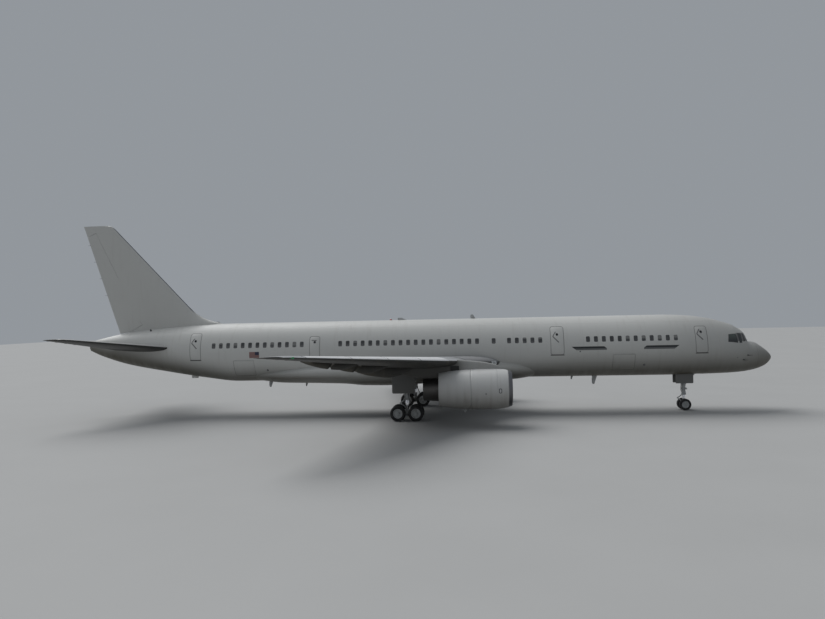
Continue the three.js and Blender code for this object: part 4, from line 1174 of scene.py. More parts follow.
# Moving surfaces: name, the hinge line's stations, its distances out, its drop, depth behind it, gap
SURFACES = [
    ("flap_inner", (24.95, 25.12), (2.60, 6.60), 0.7, 1.2, 0.012),
    ("flap_outer", (25.39, 27.52), (7.60, 14.85), 0.7, 1.5, 0.012),
    ("aileron", (27.67, 28.48), (15.25, 18.15), 0.0, 0.6, 0.019),
]
wing = lofted([wing_ring(row_at(WING, out), WING_CAMBER) for out in WING_OUTS])
for name, stations, outs, low, depth, gap in SURFACES:
    ends = wing_hinge(WING, WING_CAMBER, stations, outs, low)
    surface = split(wing, ends, depth, gap)
    both(underneath(surface, WING_PAINT, SHADED_UNDER_PAINT), name + "_skin", WING_PAINT, name, [name], sided=True)
    if name == "flap_outer":
        for i, sizes in enumerate(FLAP_PODS):
            rear, front = pod(*sizes), pod(*sizes)
            cut(rear, hinge_zone(ends, depth, 0, 0), "INTERSECT")
            cut(rear, leaning_slab(ends, depth), "INTERSECT")
            cut(front, hinge_zone(ends, depth, gap, gap))
            both(bevelled(rear, 0.003), f"track_pod_rear_{i + 1}", SHADED_UNDER_PAINT, name, sided=True)
            both(bevelled(front, 0.003), f"track_pod_front_{i + 1}", SHADED_UNDER_PAINT)
both(pod(*FIXED_POD), "track_pod_root", SHADED_UNDER_PAINT)
both(underneath(wing, WING_PAINT, SHADED_UNDER_PAINT), "wing_skin", WING_PAINT, stands_for=["wing"])

tailplane = lofted([wing_ring(row_at(TAILPLANE, out), 0) for out in TAIL_OUTS])
ends = wing_hinge(TAILPLANE, 0, (43.54, 45.28), (1.20, 7.05), 0)
elevator = clear_of_body(split(tailplane, ends, 0.9, 0.012))
both(underneath(elevator, TAIL_PAINT, SHADED_TAIL_UNDER), "elevator_skin", TAIL_PAINT, "elevator", ["elevator"], sided=True)
both(underneath(tailplane, TAIL_PAINT, SHADED_TAIL_UNDER), "tailplane_skin", TAIL_PAINT, stands_for=["tailplane"])

fin = lofted([fin_ring(row_at(FIN, height)) for height in FIN_HEIGHTS])
ends = []
for station, height in ((43.05, 6.42), (46.42, 13.05)):
    _, nose, chord, half = row_at(FIN, height)
    ends.append((at(station, 0, height), half_thickness((station - nose) / chord) * 2 * half * SCALE))
rudder = clear_of_body(split(fin, ends, 1.6, 0.009))
done(rudder, "rudder_skin", FIN_PAINT, "rudder", ["rudder"])
done(fin, "fin_skin", FIN_PAINT, stands_for=["fin"])

# ---- Engines ----
ENGINE_OUT, ENGINE_HEIGHT = 6.48, 2.24
ENGINE_LINE = Vector((0, ENGINE_OUT * SCALE, ENGINE_HEIGHT * SCALE))
COWL = Curve([
    [17.66, 1.078], [17.95, 1.142], [18.35, 1.190], [19.30, 1.212], [20.35, 1.175], [21.10, 1.105], [21.79, 0.995],
])


def cowl_line(first, last, count):
    return [tuple(COWL(s)) for s in np.linspace(first, last, count)]


def sleeve(first, last, count, inner, node):
    """A ring of the cowl between two stations, with its inner line, on both engines."""
    piece = turned([*cowl_line(first, last, count), *inner], ENGINE_LINE, closed=True, steps=96)
    both(bevelled(piece, 0.003, 2), node + "_skin", COWL_PAINT, stands_for=[node])


lip = through([
    (17.66, 1.078), (17.53, 1.030), (17.482, 0.985), (17.53, 0.932), (17.75, 0.903), (18.05, 0.915), (18.349, 0.945),
], 5)
inlet = turned([*cowl_line(18.349, 17.70, 8), *lip], ENGINE_LINE, closed=True, steps=96)
both(inlet, "inlet_cowl_skin", COWL_PAINT, stands_for=["inlet_cowl"])
sleeve(18.353, 19.894, 16, [(19.894, 0.945), (18.353, 0.945)], "fan_cowl")
sleeve(19.906, 21.79, 14, [(21.79, 0.960), (21.0, 0.945), (19.906, 0.945)], "reverser")
nozzle_line = [
    *through([(20.10, 0.760), (21.0, 0.745), (21.9, 0.695), (22.72, 0.650)], 5),
    *through([(22.72, 0.625), (21.5, 0.61), (20.10, 0.60)], 4),
]
both(turned(nozzle_line, ENGINE_LINE, closed=True, steps=72), "nozzle_skin", HOT_METAL, stands_for=["nozzle"])
core_line = [
    *through([(22.55, 0.0), (22.47, 0.07), (22.1, 0.24), (21.6, 0.42), (21.35, 0.50)], 5),
    (21.30, 0.60), (19.70, 0.60), (19.70, 0.943), (19.35, 0.943), (19.35, 0.20), (19.05, 0.20), (19.05, 0.05),
    (18.75, 0.05), (18.75, 0),
]
both(turned(core_line, ENGINE_LINE, steps=60), "engine_core_skin", TITANIUM, stands_for=["engine_core"])

FAN = {"blades": 22, "station": 18.87, "root": 0.27, "tip": 0.918}


def fan_blade():
    piece = start(bpy.ops.mesh.primitive_grid_add, x_subdivisions=5, y_subdivisions=10, size=2)
    places = []
    for v in piece.data.vertices:
        u, rise = v.co.x / 2, (v.co.y + 1) / 2
        pitch = radians(14 + 44 * rise)
        chord = 0.20 + 0.07 * sin(pi * min(1, rise * 1.15))
        belly = 0.02 * (1 - 4 * u * u) * (1 - rise)
        radius = FAN["root"] + (FAN["tip"] - FAN["root"]) * rise
        along, across = u * chord * cos(pitch), u * chord * sin(pitch) + belly
        angle = across / radius
        places.append(at(FAN["station"] + along, radius * sin(angle), radius * cos(angle)))
    laid(piece, places)
    return modified(piece, "SOLIDIFY", thickness=0.007, offset=0)


def fan():
    blade = fan_blade()
    blades = []
    for i in range(FAN["blades"]):
        turn = Matrix.Rotation(i / FAN["blades"] * 2 * pi, 4, "X")
        twin = copied(blade)
        twin.data.transform(turn)
        blades.append(twin)
    dropped(blade)
    cone = through([(18.33, 0.0), (18.345, 0.05), (18.48, 0.16), (18.70, 0.275), (19.02, 0.30)], 6)
    spinner = turned([*cone, (19.02, 0.0)], Vector(), steps=66)
    piece = joined([spinner, *blades])
    piece.location = ENGINE_LINE
    return settle(piece)


left_fan = fan()
right_fan = copied(left_fan)
right_fan.location = (0, -2 * ENGINE_LINE.y, 0)
for piece, (_, side) in zip((left_fan, right_fan), SIDES):
    done(piece, f"fan_rotor_{side}", TITANIUM, f"fan_{side}", [f"fan_{side}"])

PYLON = Curve([
    [18.02, 3.46, 3.30, 0.03], [18.35, 3.64, 3.30, 0.13], [19.10, 3.83, 3.28, 0.19], [20.35, 3.96, 3.15, 0.21],
    [20.60, 3.97, 2.90, 0.21], [22.00, 4.00, 2.86, 0.21], [22.90, 4.00, 2.90, 0.19], [23.90, 3.95, 3.16, 0.12],
    [24.55, 3.80, 3.45, 0.03],
])


def pylon_ring(station):
    _, top, bottom, half = PYLON(station)
    middle, rise = (top + bottom) / 2, (top - bottom) / 2
    ring = []
    for i in range(32):
        a = i / 32 * 2 * pi
        c, s = cos(a), sin(a)
        out = half * np.sign(s) * abs(s) ** 0.5
        ring.append(at(station, ENGINE_OUT + out, middle + rise * np.sign(c) * abs(c) ** 0.5))
    return ring


both(lofted([pylon_ring(s) for s in np.linspace(18.02, 24.55, 50)]), "pylon_skin", PYLON_PAINT, stands_for=["pylon"])

# ---- Landing gear ----
WHEEL_FACETS = 14
FLAT = cos(pi / WHEEL_FACETS)
NOSE = {"station": 5.67, "tyre": 0.390, "spread": 0.290, "width": 0.28, "axle": 0.055}
MAIN = {"station": 23.96, "out": 3.66, "tyre": 0.508, "spread": 0.432, "width": 0.36, "axle": 0.065}
nose_axle, main_axle = NOSE["tyre"] * FLAT, MAIN["tyre"] * FLAT
WHEELBASE = 1.143


# A tyre's half outline, in shares of its half width and its radius
TYRE_LINE = [
    (0.62, 0.60), (0.98, 0.74), (0.92, 0.90), (0.62, 0.985), (0.30, 1), (0.30, 0.975), (0.22, 0.975), (0.22, 1),
]
# The same for a hub, outside its axle
HUB_LINE = [(0.60, 0.20), (0.30, 0.28), (0.22, 0.44), (0.52, 0.54), (0.66, 0.56), (0.66, 0.61), (0.30, 0.62)]
BOLTS = 10
BOLT_REACH = Vector((0, 0.004, 0))


def mirrored(line):
    return line + [(-x, r) for x, r in reversed(line)]


def tyre(size):
    """A worn tyre with two grooves in its tread."""
    radius, half = size["tyre"] * FLAT, size["width"] / 2
    line = mirrored([(-half * x, radius * r) for x, r in TYRE_LINE])
    return turned(line, Vector(), closed=True, steps=36, axis=(0, 1, 0))


def hub(size):
    """A wheel's two rims, web and bolts."""
    radius, half, axle = size["tyre"] * FLAT, size["width"] / 2, size["axle"]
    face = [(half * 0.50, axle), (half * 0.62, axle * 1.1)] + [(half * x, radius * r) for x, r in HUB_LINE]
    pieces = [turned(mirrored(face), Vector(), closed=True, steps=36, axis=(0, 1, 0))]
    for i in range(BOLTS):
        a, r = i / BOLTS * 2 * pi, radius * 0.36
        for way in (-1, 1):
            spot = Vector((r * sin(a), half * 0.34 * way, r * cos(a))) * SCALE
            pieces.append(rod(spot - BOLT_REACH, spot + BOLT_REACH, 0.020, sides=6))
    return joined(pieces)


def wheel_pair(size, centre, name, body):
    """Two wheels on one axle, for the body whose node has its name."""
    rubbers, hubs = [], []
    for way in (-1, 1):
        spot = centre + Vector((0, way * size["spread"] * SCALE, 0))
        for maker, group in ((tyre, rubbers), (hub, hubs)):
            piece = maker(size)
            piece.location = spot
            group.append(settle(piece))
    reach = Vector((0, (size["spread"] + size["width"] * 0.4) * SCALE, 0))
    hubs.append(rod(centre - reach, centre + reach, size["axle"], rim=0.4))
    done(joined(rubbers), name + "_tyres", TYRE_RUBBER, body, [body])
    done(joined(hubs), name + "_hubs", GEAR_PAINT, body)


wheel_pair(NOSE, at(NOSE["station"], 0, nose_axle), "nose_wheels", "nose_wheels")
for side, word in SIDES:
    for back, place in ((-WHEELBASE / 2, "front"), (WHEELBASE / 2, "rear")):
        centre = at(MAIN["station"] + back, side * MAIN["out"], main_axle)
        wheel_pair(MAIN, centre, f"main_{place}_{word}", f"main_wheels_{place}_{word}")


def nose_at(aft, out, height):
    return at(NOSE["station"] + aft, out, height)


def main_at(aft, out, height):
    return at(MAIN["station"] + aft, MAIN["out"] + out, height)


def rods(place, rows):
    """Bars between places: rows of two places, a radius, and a rim and end radius where they differ."""
    return [rod(place(*a), place(*b), *sizes) for a, b, *sizes in rows]


def links(place, aft, upper, lower, reach, half):
    """Torque links: two hollowed arms that meet at a pin behind the leg."""
    middle = (upper + lower) / 2
    pin = place(aft + reach, 0, middle)
    pieces = [rod(place(aft + reach, -half, middle), place(aft + reach, half, middle), 0.035)]
    for level in (upper, lower):
        pieces.append(arm(place(aft - 0.03, 0, level), pin, 2.2 * half, half, 0.055))
        pieces.append(rod(place(aft, -half * 1.1, level), place(aft, half * 1.1, level), 0.042))
    return pieces


def panel(place, width, height, corner, low, high, bow=0.0):
    """A gear door: a rounded slab with a bow, and stiffeners on its inner face."""
    slab = thickened(plate(width * SCALE, height * SCALE, corner * SCALE, 4), low, high)
    half_x, half_y = 0.44 * width * SCALE, 0.42 * height * SCALE
    ribs = [slab]
    for i in range(1, 4):
        level = (i / 4 - 0.5) * height * SCALE
        ribs.append(block((-half_x, level - 0.006, low - 0.008), (half_x, level + 0.006, low + 0.002), 0.004))
    for way in (-1, 1):
        x = way * 0.42 * width * SCALE
        ribs.append(block((x - 0.005, -half_y, low - 0.008), (x + 0.005, half_y, low + 0.002), 0.004))
    slab = bevelled(joined(ribs), 0.001, 1, 50)
    slices(slab, 1, 9, height * SCALE)

    def spot(x, y, z):
        swell = bow * (1 - (2 * y / SCALE / height) ** 2)
        return place(-x / SCALE, z / SCALE + swell, y / SCALE)
    return wrapped(slab, spot)


# Nose gear: leg, drag strut, steering cylinders and lamps
NOSE_TUBE = [
    (1.15, 0), (1.15, 0.135), (1.235, 0.135), (1.25, 0.115), (1.36, 0.115), (1.375, 0.145), (1.47, 0.145),
    (1.485, 0.115), (1.57, 0.115), (1.58, 0.14), (1.68, 0.14), (1.69, 0.115), (2.30, 0.115), (2.31, 0.125),
    (2.37, 0.125), (2.38, 0.115), (3.02, 0.115), (3.02, 0),
]
nose_leg = [
    turned(NOSE_TUBE, nose_at(0, 0, 0), steps=32, axis=(0, 0, 1)),
    *rods(nose_at, [
        ((0, -0.296, 2.86), (0, 0.296, 2.86), 0.07),
        ((-0.06, 0, 1.66), (-0.52, 0, 2.19), 0.046, 0.3),
        ((-0.50, 0, 2.17), (-0.98, 0, 2.72), 0.052, 0.3),
        ((-0.51, -0.09, 2.18), (-0.51, 0.09, 2.18), 0.055, 0.4),
        ((-0.98, -0.296, 2.72), (-0.98, 0.296, 2.72), 0.05),
        ((-0.50, 0, 2.20), (-0.08, 0, 2.62), 0.024),
    ]),
]
for way in (-1, 1):
    nose_leg += rods(nose_at, [
        ((-0.16, way * 0.05, 1.425), (-0.10, way * 0.27, 1.425), 0.055, 0.3),
        ((-0.14, way * 0.12, 1.425), (-0.17, way * 0.02, 1.425), 0.028),
        ((-0.02, way * 0.10, 1.88), (-0.10, way * 0.16, 1.88), 0.022),
        ((-0.06, way * 0.19, 1.88), (-0.19, way * 0.19, 1.88), 0.065, 0.2, 0.085),
    ])
done(joined(nose_leg), "nose_leg_tube", GEAR_PAINT, stands_for=["nose_gear_leg"])
lamps = [rod(nose_at(-0.195, out, 1.88), nose_at(-0.21, out, 1.88), 0.068, 0.1, sides=24) for out in (-0.19, 0.19)]
done(joined(lamps), "nose_leg_lamps", LAMP_GLASS)
hose = [(0.10, 0.08, 2.75), (0.13, 0.07, 2.2), (0.15, 0.07, 1.75), (0.17, 0.05, 1.35), (0.13, 0.03, 1.20)]
hoses = [pipe([nose_at(aft, way * out, height) for aft, out, height in hose], 0.012) for way in (-1, 1)]
done(joined(hoses), "nose_leg_pipes", DARK_PAINT)

FORK_TOP = [(1.0, 0), (1.0, 0.12), (1.015, 0.15), (1.135, 0.15), (1.1494, 0.135), (1.1494, 0)]
FORK_FOOT = [(0.30, 0), (0.30, 0.06), (0.33, 0.085), (0.53, 0.105), (0.56, 0.095), (0.58, 0)]
fork = [
    turned(FORK_TOP, nose_at(0, 0, 0), steps=32, axis=(0, 0, 1)),
    turned(FORK_FOOT, nose_at(0, 0, 0), steps=28, axis=(0, 0, 1)),
    rod(nose_at(0, -0.11, nose_axle), nose_at(0, 0.11, nose_axle), 0.10, sides=28),
    *links(nose_at, 0.08, 1.06, 0.52, 0.34, 0.06),
]
lug = block(nose_at(-0.22, -0.06, 0.34), nose_at(-0.02, 0.06, 0.42), 0.02)
cut(lug, rod(nose_at(-0.165, 0, 0.2), nose_at(-0.165, 0, 0.6), 0.026))
done(joined([*fork, lug]), "nose_fork", GEAR_PAINT, "nose_steering", ["nose_gear_fork"])
done(rod(nose_at(0, 0, 0.50), nose_at(0, 0, 1.02), 0.078, sides=32), "nose_piston", CHROME, "nose_steering")

for way, word in SIDES:
    def beside(aft, out, height):
        return nose_at(0.025 + aft, way * (0.335 + out), 2.19 + height)
    door = outward(panel(beside, 1.15, 0.80, 0.06, -0.006, 0.006, 0.01))
    done(door, f"nose_door_{word}", SHADED_DOOR_PAINT, stands_for=[f"nose_gear_door_{word}"])
    hinges = [rod(beside(aft, -0.02, 0.30), beside(aft, -0.14, 0.42), 0.018) for aft in (-0.42, 0.0, 0.42)]
    done(joined(hinges), f"nose_door_hinges_{word}", GEAR_PAINT)

# Main gear: leg, side and drag braces, bogie beam, brakes, hoses and strut door
MAIN_TUBE = [
    (1.30, 0), (1.30, 0.165), (1.315, 0.19), (1.41, 0.19), (1.43, 0.17), (1.64, 0.17), (1.66, 0.205), (1.83, 0.205),
    (1.85, 0.17), (2.30, 0.17), (2.31, 0.18), (2.34, 0.18), (2.35, 0.17), (2.58, 0.17), (2.60, 0.195),
    (2.76, 0.195), (2.78, 0.17), (3.62, 0.17), (3.62, 0),
]
main_leg = [
    turned(MAIN_TUBE, main_at(0, 0, 0), steps=36, axis=(0, 0, 1)),
    *rods(main_at, [
        ((0, -0.15, 1.80), (0, -0.84, 2.26), 0.062, 0.3),
        ((0, -0.80, 2.235), (0, -1.62, 2.78), 0.068, 0.3),
        ((-0.10, -0.82, 2.245), (0.10, -0.82, 2.245), 0.075, 0.4),
        ((0, -0.80, 2.27), (0, -0.12, 2.95), 0.030),
        ((-0.12, 0, 1.93), (-1.15, 0, 3.50), 0.058, 0.3),
        ((-0.13, -0.10, 1.94), (-0.13, 0.10, 1.94), 0.065, 0.4),
        ((-0.58, -0.09, 2.63), (-0.58, 0.09, 2.63), 0.062, 0.4),
        ((-0.57, 0, 2.66), (-0.10, 0, 3.05), 0.026),
    ]),
    *links(main_at, 0.12, 1.36, 0.86, 0.34, 0.09),
]
both(joined(main_leg), "main_leg_tube", GEAR_PAINT, stands_for=["main_gear_leg"])
both(rod(main_at(0, 0, 0.69), main_at(0, 0, 1.34), 0.112, sides=36), "main_piston", CHROME)

BEAM_END = WHEELBASE / 2
beam_line = mirrored([
    (-BEAM_END - 0.16, 0), (-BEAM_END - 0.15, 0.07), (-BEAM_END - 0.10, 0.11), (-BEAM_END - 0.02, 0.125),
    (-0.34, 0.115), (-0.20, 0.145),
])
beam_place = Vector((0, MAIN["out"] * SCALE, main_axle * SCALE))
beam = [
    turned([(MAIN["station"] + aft, radius) for aft, radius in beam_line], beam_place, steps=32),
    rod(main_at(0, 0, main_axle + 0.05), main_at(0, 0, 0.70), 0.155, sides=32),
]
brakes = []
for aft in (-BEAM_END, BEAM_END):
    beam.append(rod(main_at(aft, -0.175, main_axle), main_at(aft, 0.175, main_axle), 0.14, sides=32))
    for way in (-1, 1):
        inner, outer = main_at(aft, way * 0.18, main_axle), main_at(aft, way * 0.30, main_axle)
        brakes.append(rod(inner, outer, 0.225, sides=36, rim=0.05))
        for i in range(7):
            turn = i / 7 * 2 * pi
            spot = Vector((0.165 * sin(turn), 0, 0.165 * cos(turn))) * SCALE
            brakes.append(rod(inner + spot - Vector((0, way * 0.012, 0)), inner + spot, 0.036, sides=12))
for way in (-1, 1):
    low = main_axle - 0.17
    beam.append(rod(main_at(-BEAM_END, way * 0.10, low), main_at(BEAM_END, way * 0.10, low), 0.022))
    for aft in (-BEAM_END, BEAM_END):
        beam.append(rod(main_at(aft, way * 0.10, low - 0.03), main_at(aft, way * 0.10, low + 0.08), 0.034))
both(joined(beam), "bogie_beam_tube", GEAR_PAINT, stands_for=["bogie_beam"])
both(joined(brakes), "brake_packs", DARK_PAINT)
hose = [
    (0.10, 0.17, 2.5), (0.11, 0.17, 1.7), (0.16, 0.19, 1.30), (0.30, 0.17, 0.95), (0.42, 0.16, 0.72),
    (BEAM_END - 0.04, 0.165, main_axle + 0.16),
]
hoses = []
for way in (-1, 1):
    for fore in (-1, 1):
        hoses.append(pipe([main_at(fore * aft, way * out, height) for aft, out, height in hose], 0.014))
both(joined(hoses), "brake_hoses", DARK_PAINT)


def outboard(aft, out, height):
    return main_at(0.155 + aft, 0.645 + out, 2.615 + height)


strut_door = panel(outboard, 1.45, 1.67, 0.10, -0.0125, 0.0125, 0.012)
both(strut_door, "strut_door", SHADED_DOOR_PAINT, stands_for=["main_gear_door"])
stays = []
for level in (2.05, 2.75):
    stays += rods(main_at, [
        ((0, 0.165, level), (0, 0.635, level), 0.028),
        ((0, 0.20, level - 0.14), (0, 0.60, level), 0.018),
    ])
both(joined(stays), "strut_door_stays", GEAR_PAINT)


def on_pylon(aft, out, height):
    return at(20.83 + aft, ENGINE_OUT + 0.21 + out, 3.49 + height)


# The pylon's vent: a near-black plate as painted shade inside the opening
both(panel(on_pylon, 0.51, 0.285, 0.02, -0.01, 0.003), "pylon_vents", VENT_SHADE_BLACK)

# The nose gear's well, a lining with frames across it
well = start(bpy.ops.mesh.primitive_cube_add, size=1, location=at(5.45, 0, 2.75))
well.scale = [(6.29 - 4.61) * SCALE, 0.592 * SCALE, 0.59 * SCALE]
settle(well)
with editing(well):
    pick(well, lambda f: f.normal.z < -0.9)
    bpy.ops.mesh.delete(type="FACE")
modified(well, "SOLIDIFY", thickness=0.006, offset=0)
frames = [well]
for station in (4.85, 5.20, 5.55, 5.90, 6.20):
    frames.append(block(at(station + 0.02, -0.29, 2.97), at(station - 0.02, 0.29, 3.045), 0.008))
    for way in (-1, 1):
        frames.append(block(at(station + 0.02, way * 0.292, 2.47), at(station - 0.02, way * 0.262, 3.04), 0.008))
done(joined(frames), "nose_well_lining", WELL_PAINT)

# ---- Slats, spoilers, lights and static dischargers ----
def on_wing(out, along, over, lift=0.0, table=WING, camber=WING_CAMBER):
    """A place on a wing's skin at a share of its chord, over (1) or under (-1) it."""
    _, nose, chord, height, incidence, ratio = row_at(table, out)
    tilt, back = radians(incidence), along * chord
    rise = camber * 4 * along * (1 - along) * chord
    rise += over * (half_thickness(along) * ratio * chord + TAIL_HALF * along + lift)
    return at(nose + back * cos(tilt) + rise * sin(tilt), out, height - back * sin(tilt) + rise * cos(tilt))


def skin_panel(outs, alongs, over, corner):
    """A thin panel on the wing's skin between two spans and two shares of its chord."""
    piece = thickened(plate(1, 1, corner, 3), *SHEET)
    for axis in (0, 1):
        slices(piece, axis, 8)

    def spot(x, y, z):
        out = outs[0] + (outs[1] - outs[0]) * (x + 0.5)
        return on_wing(out, alongs[0] + (alongs[1] - alongs[0]) * (y + 0.5), over, z / SCALE)
    return wrapped(piece, spot)


def nose_shell(outs, over, under, lift):
    """A shell round the wing's nose, back to a share of its chord over it and under it."""
    rings = []
    for out in np.linspace(*outs, 8):
        line = [on_wing(out, over * t * t, 1) for t in np.linspace(1, 0, 9)]
        line += [on_wing(out, under * t * t, -1) for t in np.linspace(0, 1, 7)[1:]]
        outer, inner = [], []
        for i, place in enumerate(line):
            normal = heading(line, i).cross(Vector((0, 1, 0))).normalized()
            outer.append(place + normal * lift * SCALE)
            inner.append(place - normal * 0.012 * SCALE)
        rings.append(outer + inner[::-1])
    return lofted(rings)


SLATS = [(2.95, 5.60), (7.50, 10.10), (10.14, 12.74), (12.78, 15.38), (15.42, 18.20)]
# The root slat takes the darker copy, as painted shadow
metals = [SHADED_SLAT_METAL] + [SLAT_METAL] * (len(SLATS) - 1)
slats = [underneath(nose_shell(outs, 0.125, 0.05, 0.010), over, SHADED_UNDER_PAINT) for outs, over in zip(SLATS, metals)]
both(joined(slats), "slats", SLAT_METAL)
spoilers = []
for first, last, count, fore, aft in ((3.30, 6.30, 2, 0.62, 0.73), (8.10, 14.60, 5, 0.595, 0.705)):
    span = (last - first) / count
    for i in range(count):
        spoilers.append(skin_panel((first + i * span + 0.02, first + (i + 1) * span - 0.02), (fore, aft), 1, 0.04))
both(joined(spoilers), "spoilers", WING_PAINT)
covers = []
for out in np.arange(7.6, 17, 0.95):
    reach = 0.30 / row_at(WING, out)[2]
    covers.append(skin_panel((out, out + 0.42), (0.26, 0.26 + reach), -1, 0.45))
both(joined(covers), "tank_covers", SHADED_UNDER_PAINT)
both(nose_shell((2.15, 2.75), 0.006, 0.012, 0.004), "landing_lights", LAMP_GLASS)
teardrop = [(27.42, 0), (27.45, 0.035), (27.58, 0.055), (27.82, 0.045), (28.00, 0)]
light = turned(teardrop, Vector((0, 18.82, 4.935)) * SCALE, steps=24)
done(reflected(light), "position_light_right", GREEN_GLASS)
done(light, "position_light_left", RED_GLASS)


def wicks(places):
    """Static dischargers, each a thin rod aft of a trailing edge."""
    fore, aft = Vector((0.015, 0, 0)), Vector((0.09, 0, 0))
    return joined([rod(p + fore, p - aft, 0.011, end=0.005, sides=8) for p in places])


both(wicks([on_wing(out, 1, 0) for out in (15.7, 16.6, 17.5)]), "aileron_wicks", DARK_PAINT, "aileron", sided=True)
both(wicks([on_wing(out, 1, 0) for out in (18.35, 18.70)]), "wing_wicks", DARK_PAINT)
tail_edge = [on_wing(out, 1, 0, table=TAILPLANE, camber=0) for out in (4.6, 5.4, 6.2, 6.9)]
both(wicks(tail_edge), "elevator_wicks", DARK_PAINT, "elevator", sided=True)
fin_edge = []
for height in (8.6, 9.8, 11.0, 12.2):
    _, nose, chord, _ = row_at(FIN, height)
    fin_edge.append(at(nose + chord, 0, height))
done(wicks(fin_edge), "rudder_wicks", DARK_PAINT, "rudder")

# ---- Fittings of the fuselage ----
def disc(radius, low, high):
    """A round plate in the XY plane with a rounded rim."""
    piece = start(
        bpy.ops.mesh.primitive_cylinder_add,
        vertices=20, radius=radius * SCALE, depth=high - low, location=(0, 0, (high + low) / 2),
    )
    return bevelled(settle(piece), (high - low) * 0.3, 2)


def strip(a, b, width):
    """A thin strip between two places in the XY plane, all in real metres."""
    a, b = Vector((*a, 0)) * SCALE, Vector((*b, 0)) * SCALE
    reach = b - a
    piece = thickened(plate(reach.length, width * SCALE, 0.35 * width * SCALE, 2), *SHEET)
    slices(piece, 0, 7, reach.length)
    piece.matrix_world = Matrix.Translation((a + b) / 2) @ Matrix.Rotation(atan2(reach.y, reach.x), 4, "Z")
    return settle(piece)


def patch(fore, aft, low, high, corner, side, rise=0.0012):
    """A thin plate on the fuselage's side between two stations and two heights."""
    width, height = (aft - fore) * SCALE, (high - low) * SCALE
    piece = thickened(plate(width, height, corner * SCALE, 4), -0.003, rise)
    slices(piece, 0, 12, width)
    slices(piece, 1, 9, height)
    return wrapped(piece, side_spot((fore + aft) / 2, (low + high) / 2, side))


# Marks on the side: station, height, radius
MARKS = [(12.72, 4.11, 0.050), (8.58, 3.15, 0.080), (33.62, 3.18, 0.075), (2.62, 3.52, 0.035)]
# Door windows and handles: the window's height, then the handle's strips about it
BIG_DOOR = 5.24, [((-0.08, 0.18), (-0.28, -0.12), 0.05), ((-0.28, -0.12), (0.10, -0.52), 0.065)]
SMALL_DOOR = 5.03, [((-0.22, 0.12), (0.14, 0.12), 0.05)]
for side, word in SIDES:
    views, handles = [], []
    for _, door_side, fore, aft, _, head in DOORS:
        if door_side != side:
            continue
        level, strips = BIG_DOOR if head > 5.5 else SMALL_DOOR
        spot = side_spot((fore + aft) / 2, level, side)
        views.append(wrapped(disc(0.085, -0.004, 0.002), spot))
        handles += [wrapped(strip(*line), spot) for line in strips]
    done(joined(views), f"door_windows_{word}", PORT_GLASS)
    done(joined(handles), f"door_handles_{word}", HANDLE_PAINT)
    marks = []
    for station, height, radius in MARKS:
        marks.append(wrapped(disc(radius, -0.004, 0.002), side_spot(station, height, side)))
    done(joined(marks), f"skin_vents_{word}", HANDLE_PAINT)
    probes = []
    for station, height in ((1.92, 3.66), (2.20, 3.38)):
        root, knee = on_side(station, height, side, -0.02), on_side(station, height, side, 0.10)
        probes.append(rod(root, knee, 0.040, end=0.020, sides=12))
        tube = knee - Vector((0.01, 0, 0)), knee + Vector((0.12, 0, 0))
        probes.append(rod(*tube, 0.018, end=0.010, sides=12))
    vane = on_side(42.24, 6.0, side, -0.03), on_side(42.24, 6.0, side, 0.10)
    probes.append(rod(*vane, 0.075, end=0.045))
    # The parked wiper
    probes.append(pipe([front_place(side, turn, 4.63, 0.025) for turn in (6, 14, 24, 34)], 0.014))
    done(joined(probes), f"probes_{word}", DARK_PAINT)
    done(patch(40.05, 44.10, 4.30, 5.42, 0.30, side), f"stabiliser_plate_{word}", FUSELAGE_PAINT)
    done(patch(34.10, 34.78, 4.04, 4.45, 0.02, side), f"plain_patch_{word}", PATCH_PAINT)
    done(patch(34.10, 34.38, 4.24, 4.45, 0.02, side, 0.0022), f"plain_patch_corner_{word}", PATCH_CORNER)


def blade(station, out, level, up, span, chord):
    """A swept blade aerial or drain mast that stands up from a skin or hangs down from it."""
    rings = []
    for share, width in ((-0.25, 1.0), (0.0, 1.0), (0.5, 0.78), (0.85, 0.56), (1.0, 0.34)):
        size, height = chord * width, level + up * share * span
        nose = station + max(share, 0) * 0.55 * chord
        rings.append([at(nose + s * size, out + lift * size, height) for s, lift in section(0.16, 0, size)])
    return lofted(rings)


# Aerials and masts on the centre line: station, level, way up or down, span, chord
AERIALS = [
    (19.45, 6.40, 1, 0.28, 0.34), (24.20, 6.40, 1, 0.16, 0.60), (37.35, 6.38, 1, 0.17, 0.30),
    (11.35, 2.36, -1, 0.56, 0.34), (33.65, 2.36, -1, 0.46, 0.30), (12.95, 2.36, -1, 0.22, 0.16),
    (31.20, 2.15, -1, 0.24, 0.16),
]
done(joined([blade(station, 0, *sizes) for station, *sizes in AERIALS]), "aerials", GEAR_PAINT)
DOME = [(-0.04, 0), (-0.04, 0.08), (0.02, 0.08), (0.06, 0.062), (0.08, 0.034), (0.09, 0)]
for word, station, level, up in (("upper", 25.3, 6.40, 1), ("lower", 21.4, 2.13, -1)):
    dome = turned([(rise * up, radius) for rise, radius in DOME], at(station, 0, level), steps=24, axis=(0, 0, 1))
    done(dome, f"beacon_{word}", RED_GLASS)
skid = block(at(39.52, -0.09, 2.60), at(39.06, 0.09, 2.92), 0.05)
done(skid, "tail_skid", WHITE_PAINT)

# ---- Fittings of the engines ----
def on_cowl(station, turn, lift):
    radius = COWL(station)[1] + lift
    return at(station, ENGINE_OUT + radius * sin(turn), ENGINE_HEIGHT + radius * cos(turn))


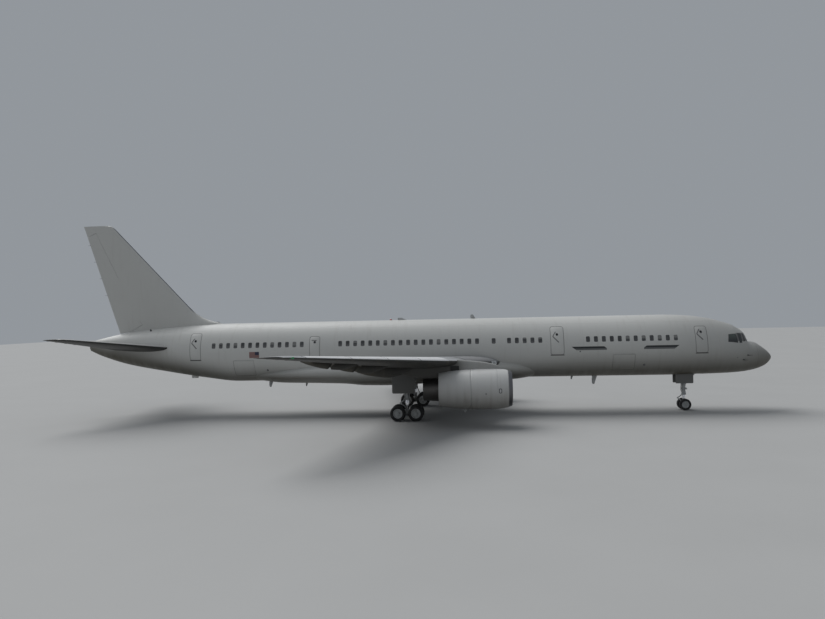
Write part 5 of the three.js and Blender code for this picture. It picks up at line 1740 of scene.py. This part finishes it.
def cowl_spot(station, turn):
    """Lays a flat piece on a cowl: its X forward, its Y over the top, its Z outward."""
    def spot(x, y, z):
        return on_cowl(station - x / SCALE, turn - y / SCALE / COWL(station)[1], z / SCALE)
    return spot


vent = thickened(plate(0.17 * SCALE, 0.27 * SCALE, 0.05 * SCALE, 3), -0.003, 0.002)
sunken(vent, 0.036 * SCALE, 0.001)
inner_finish(coated(vent, [DARK_PAINT, SHEET_METAL]), 0.050 * SCALE, 0.100 * SCALE)
slices(vent, 1, 6, 0.27 * SCALE)
both(wrapped(vent, cowl_spot(18.20, radians(91))), "cowl_vent", DARK_PAINT)
latches = [wrapped(disc(0.04, -0.003, 0.0015), cowl_spot(19.04, radians(98.6)))]
for station in (18.75, 19.25, 20.40, 21.00):
    latch = thickened(plate(0.20 * SCALE, 0.06 * SCALE, 0.02 * SCALE, 2), -0.003, 0.002)
    latches.append(wrapped(latch, cowl_spot(station, pi)))
both(joined(latches), "cowl_latches", HANDLE_PAINT)
both(blade(20.15, ENGINE_OUT, ENGINE_HEIGHT - 1.17, -1, 0.20, 0.16), "drain_mast", GEAR_PAINT)


def strake_spot(x, y, z):
    """Stands a flat piece on a cowl's inboard shoulder, lower towards its front."""
    station = 19.45 - x / SCALE
    rise = (y / SCALE + 0.17) * min(1, (station - 18.9) / 0.6 + 0.12)
    return on_cowl(station, radians(-48) + z / SCALE, rise - 0.02)


strake = thickened(plate(1.10 * SCALE, 0.34 * SCALE, 0.06 * SCALE, 3), -0.004, 0.004)
slices(strake, 0, 9, 1.10 * SCALE)
both(wrapped(strake, strake_spot), "cowl_strake", COWL_PAINT)
outlet = block(at(21.10, ENGINE_OUT + 0.17, 3.40), at(20.58, ENGINE_OUT + 0.2135, 3.63), 0.012)
both(outlet, "pylon_outlet", DARK_PAINT)

# ---- Floor ----
floor = start(bpy.ops.mesh.primitive_plane_add, size=160, location=(0, 30, 0))
settle(floor)
floor.name = "studio_floor"
floor.data.materials.append(floor_paint.material)
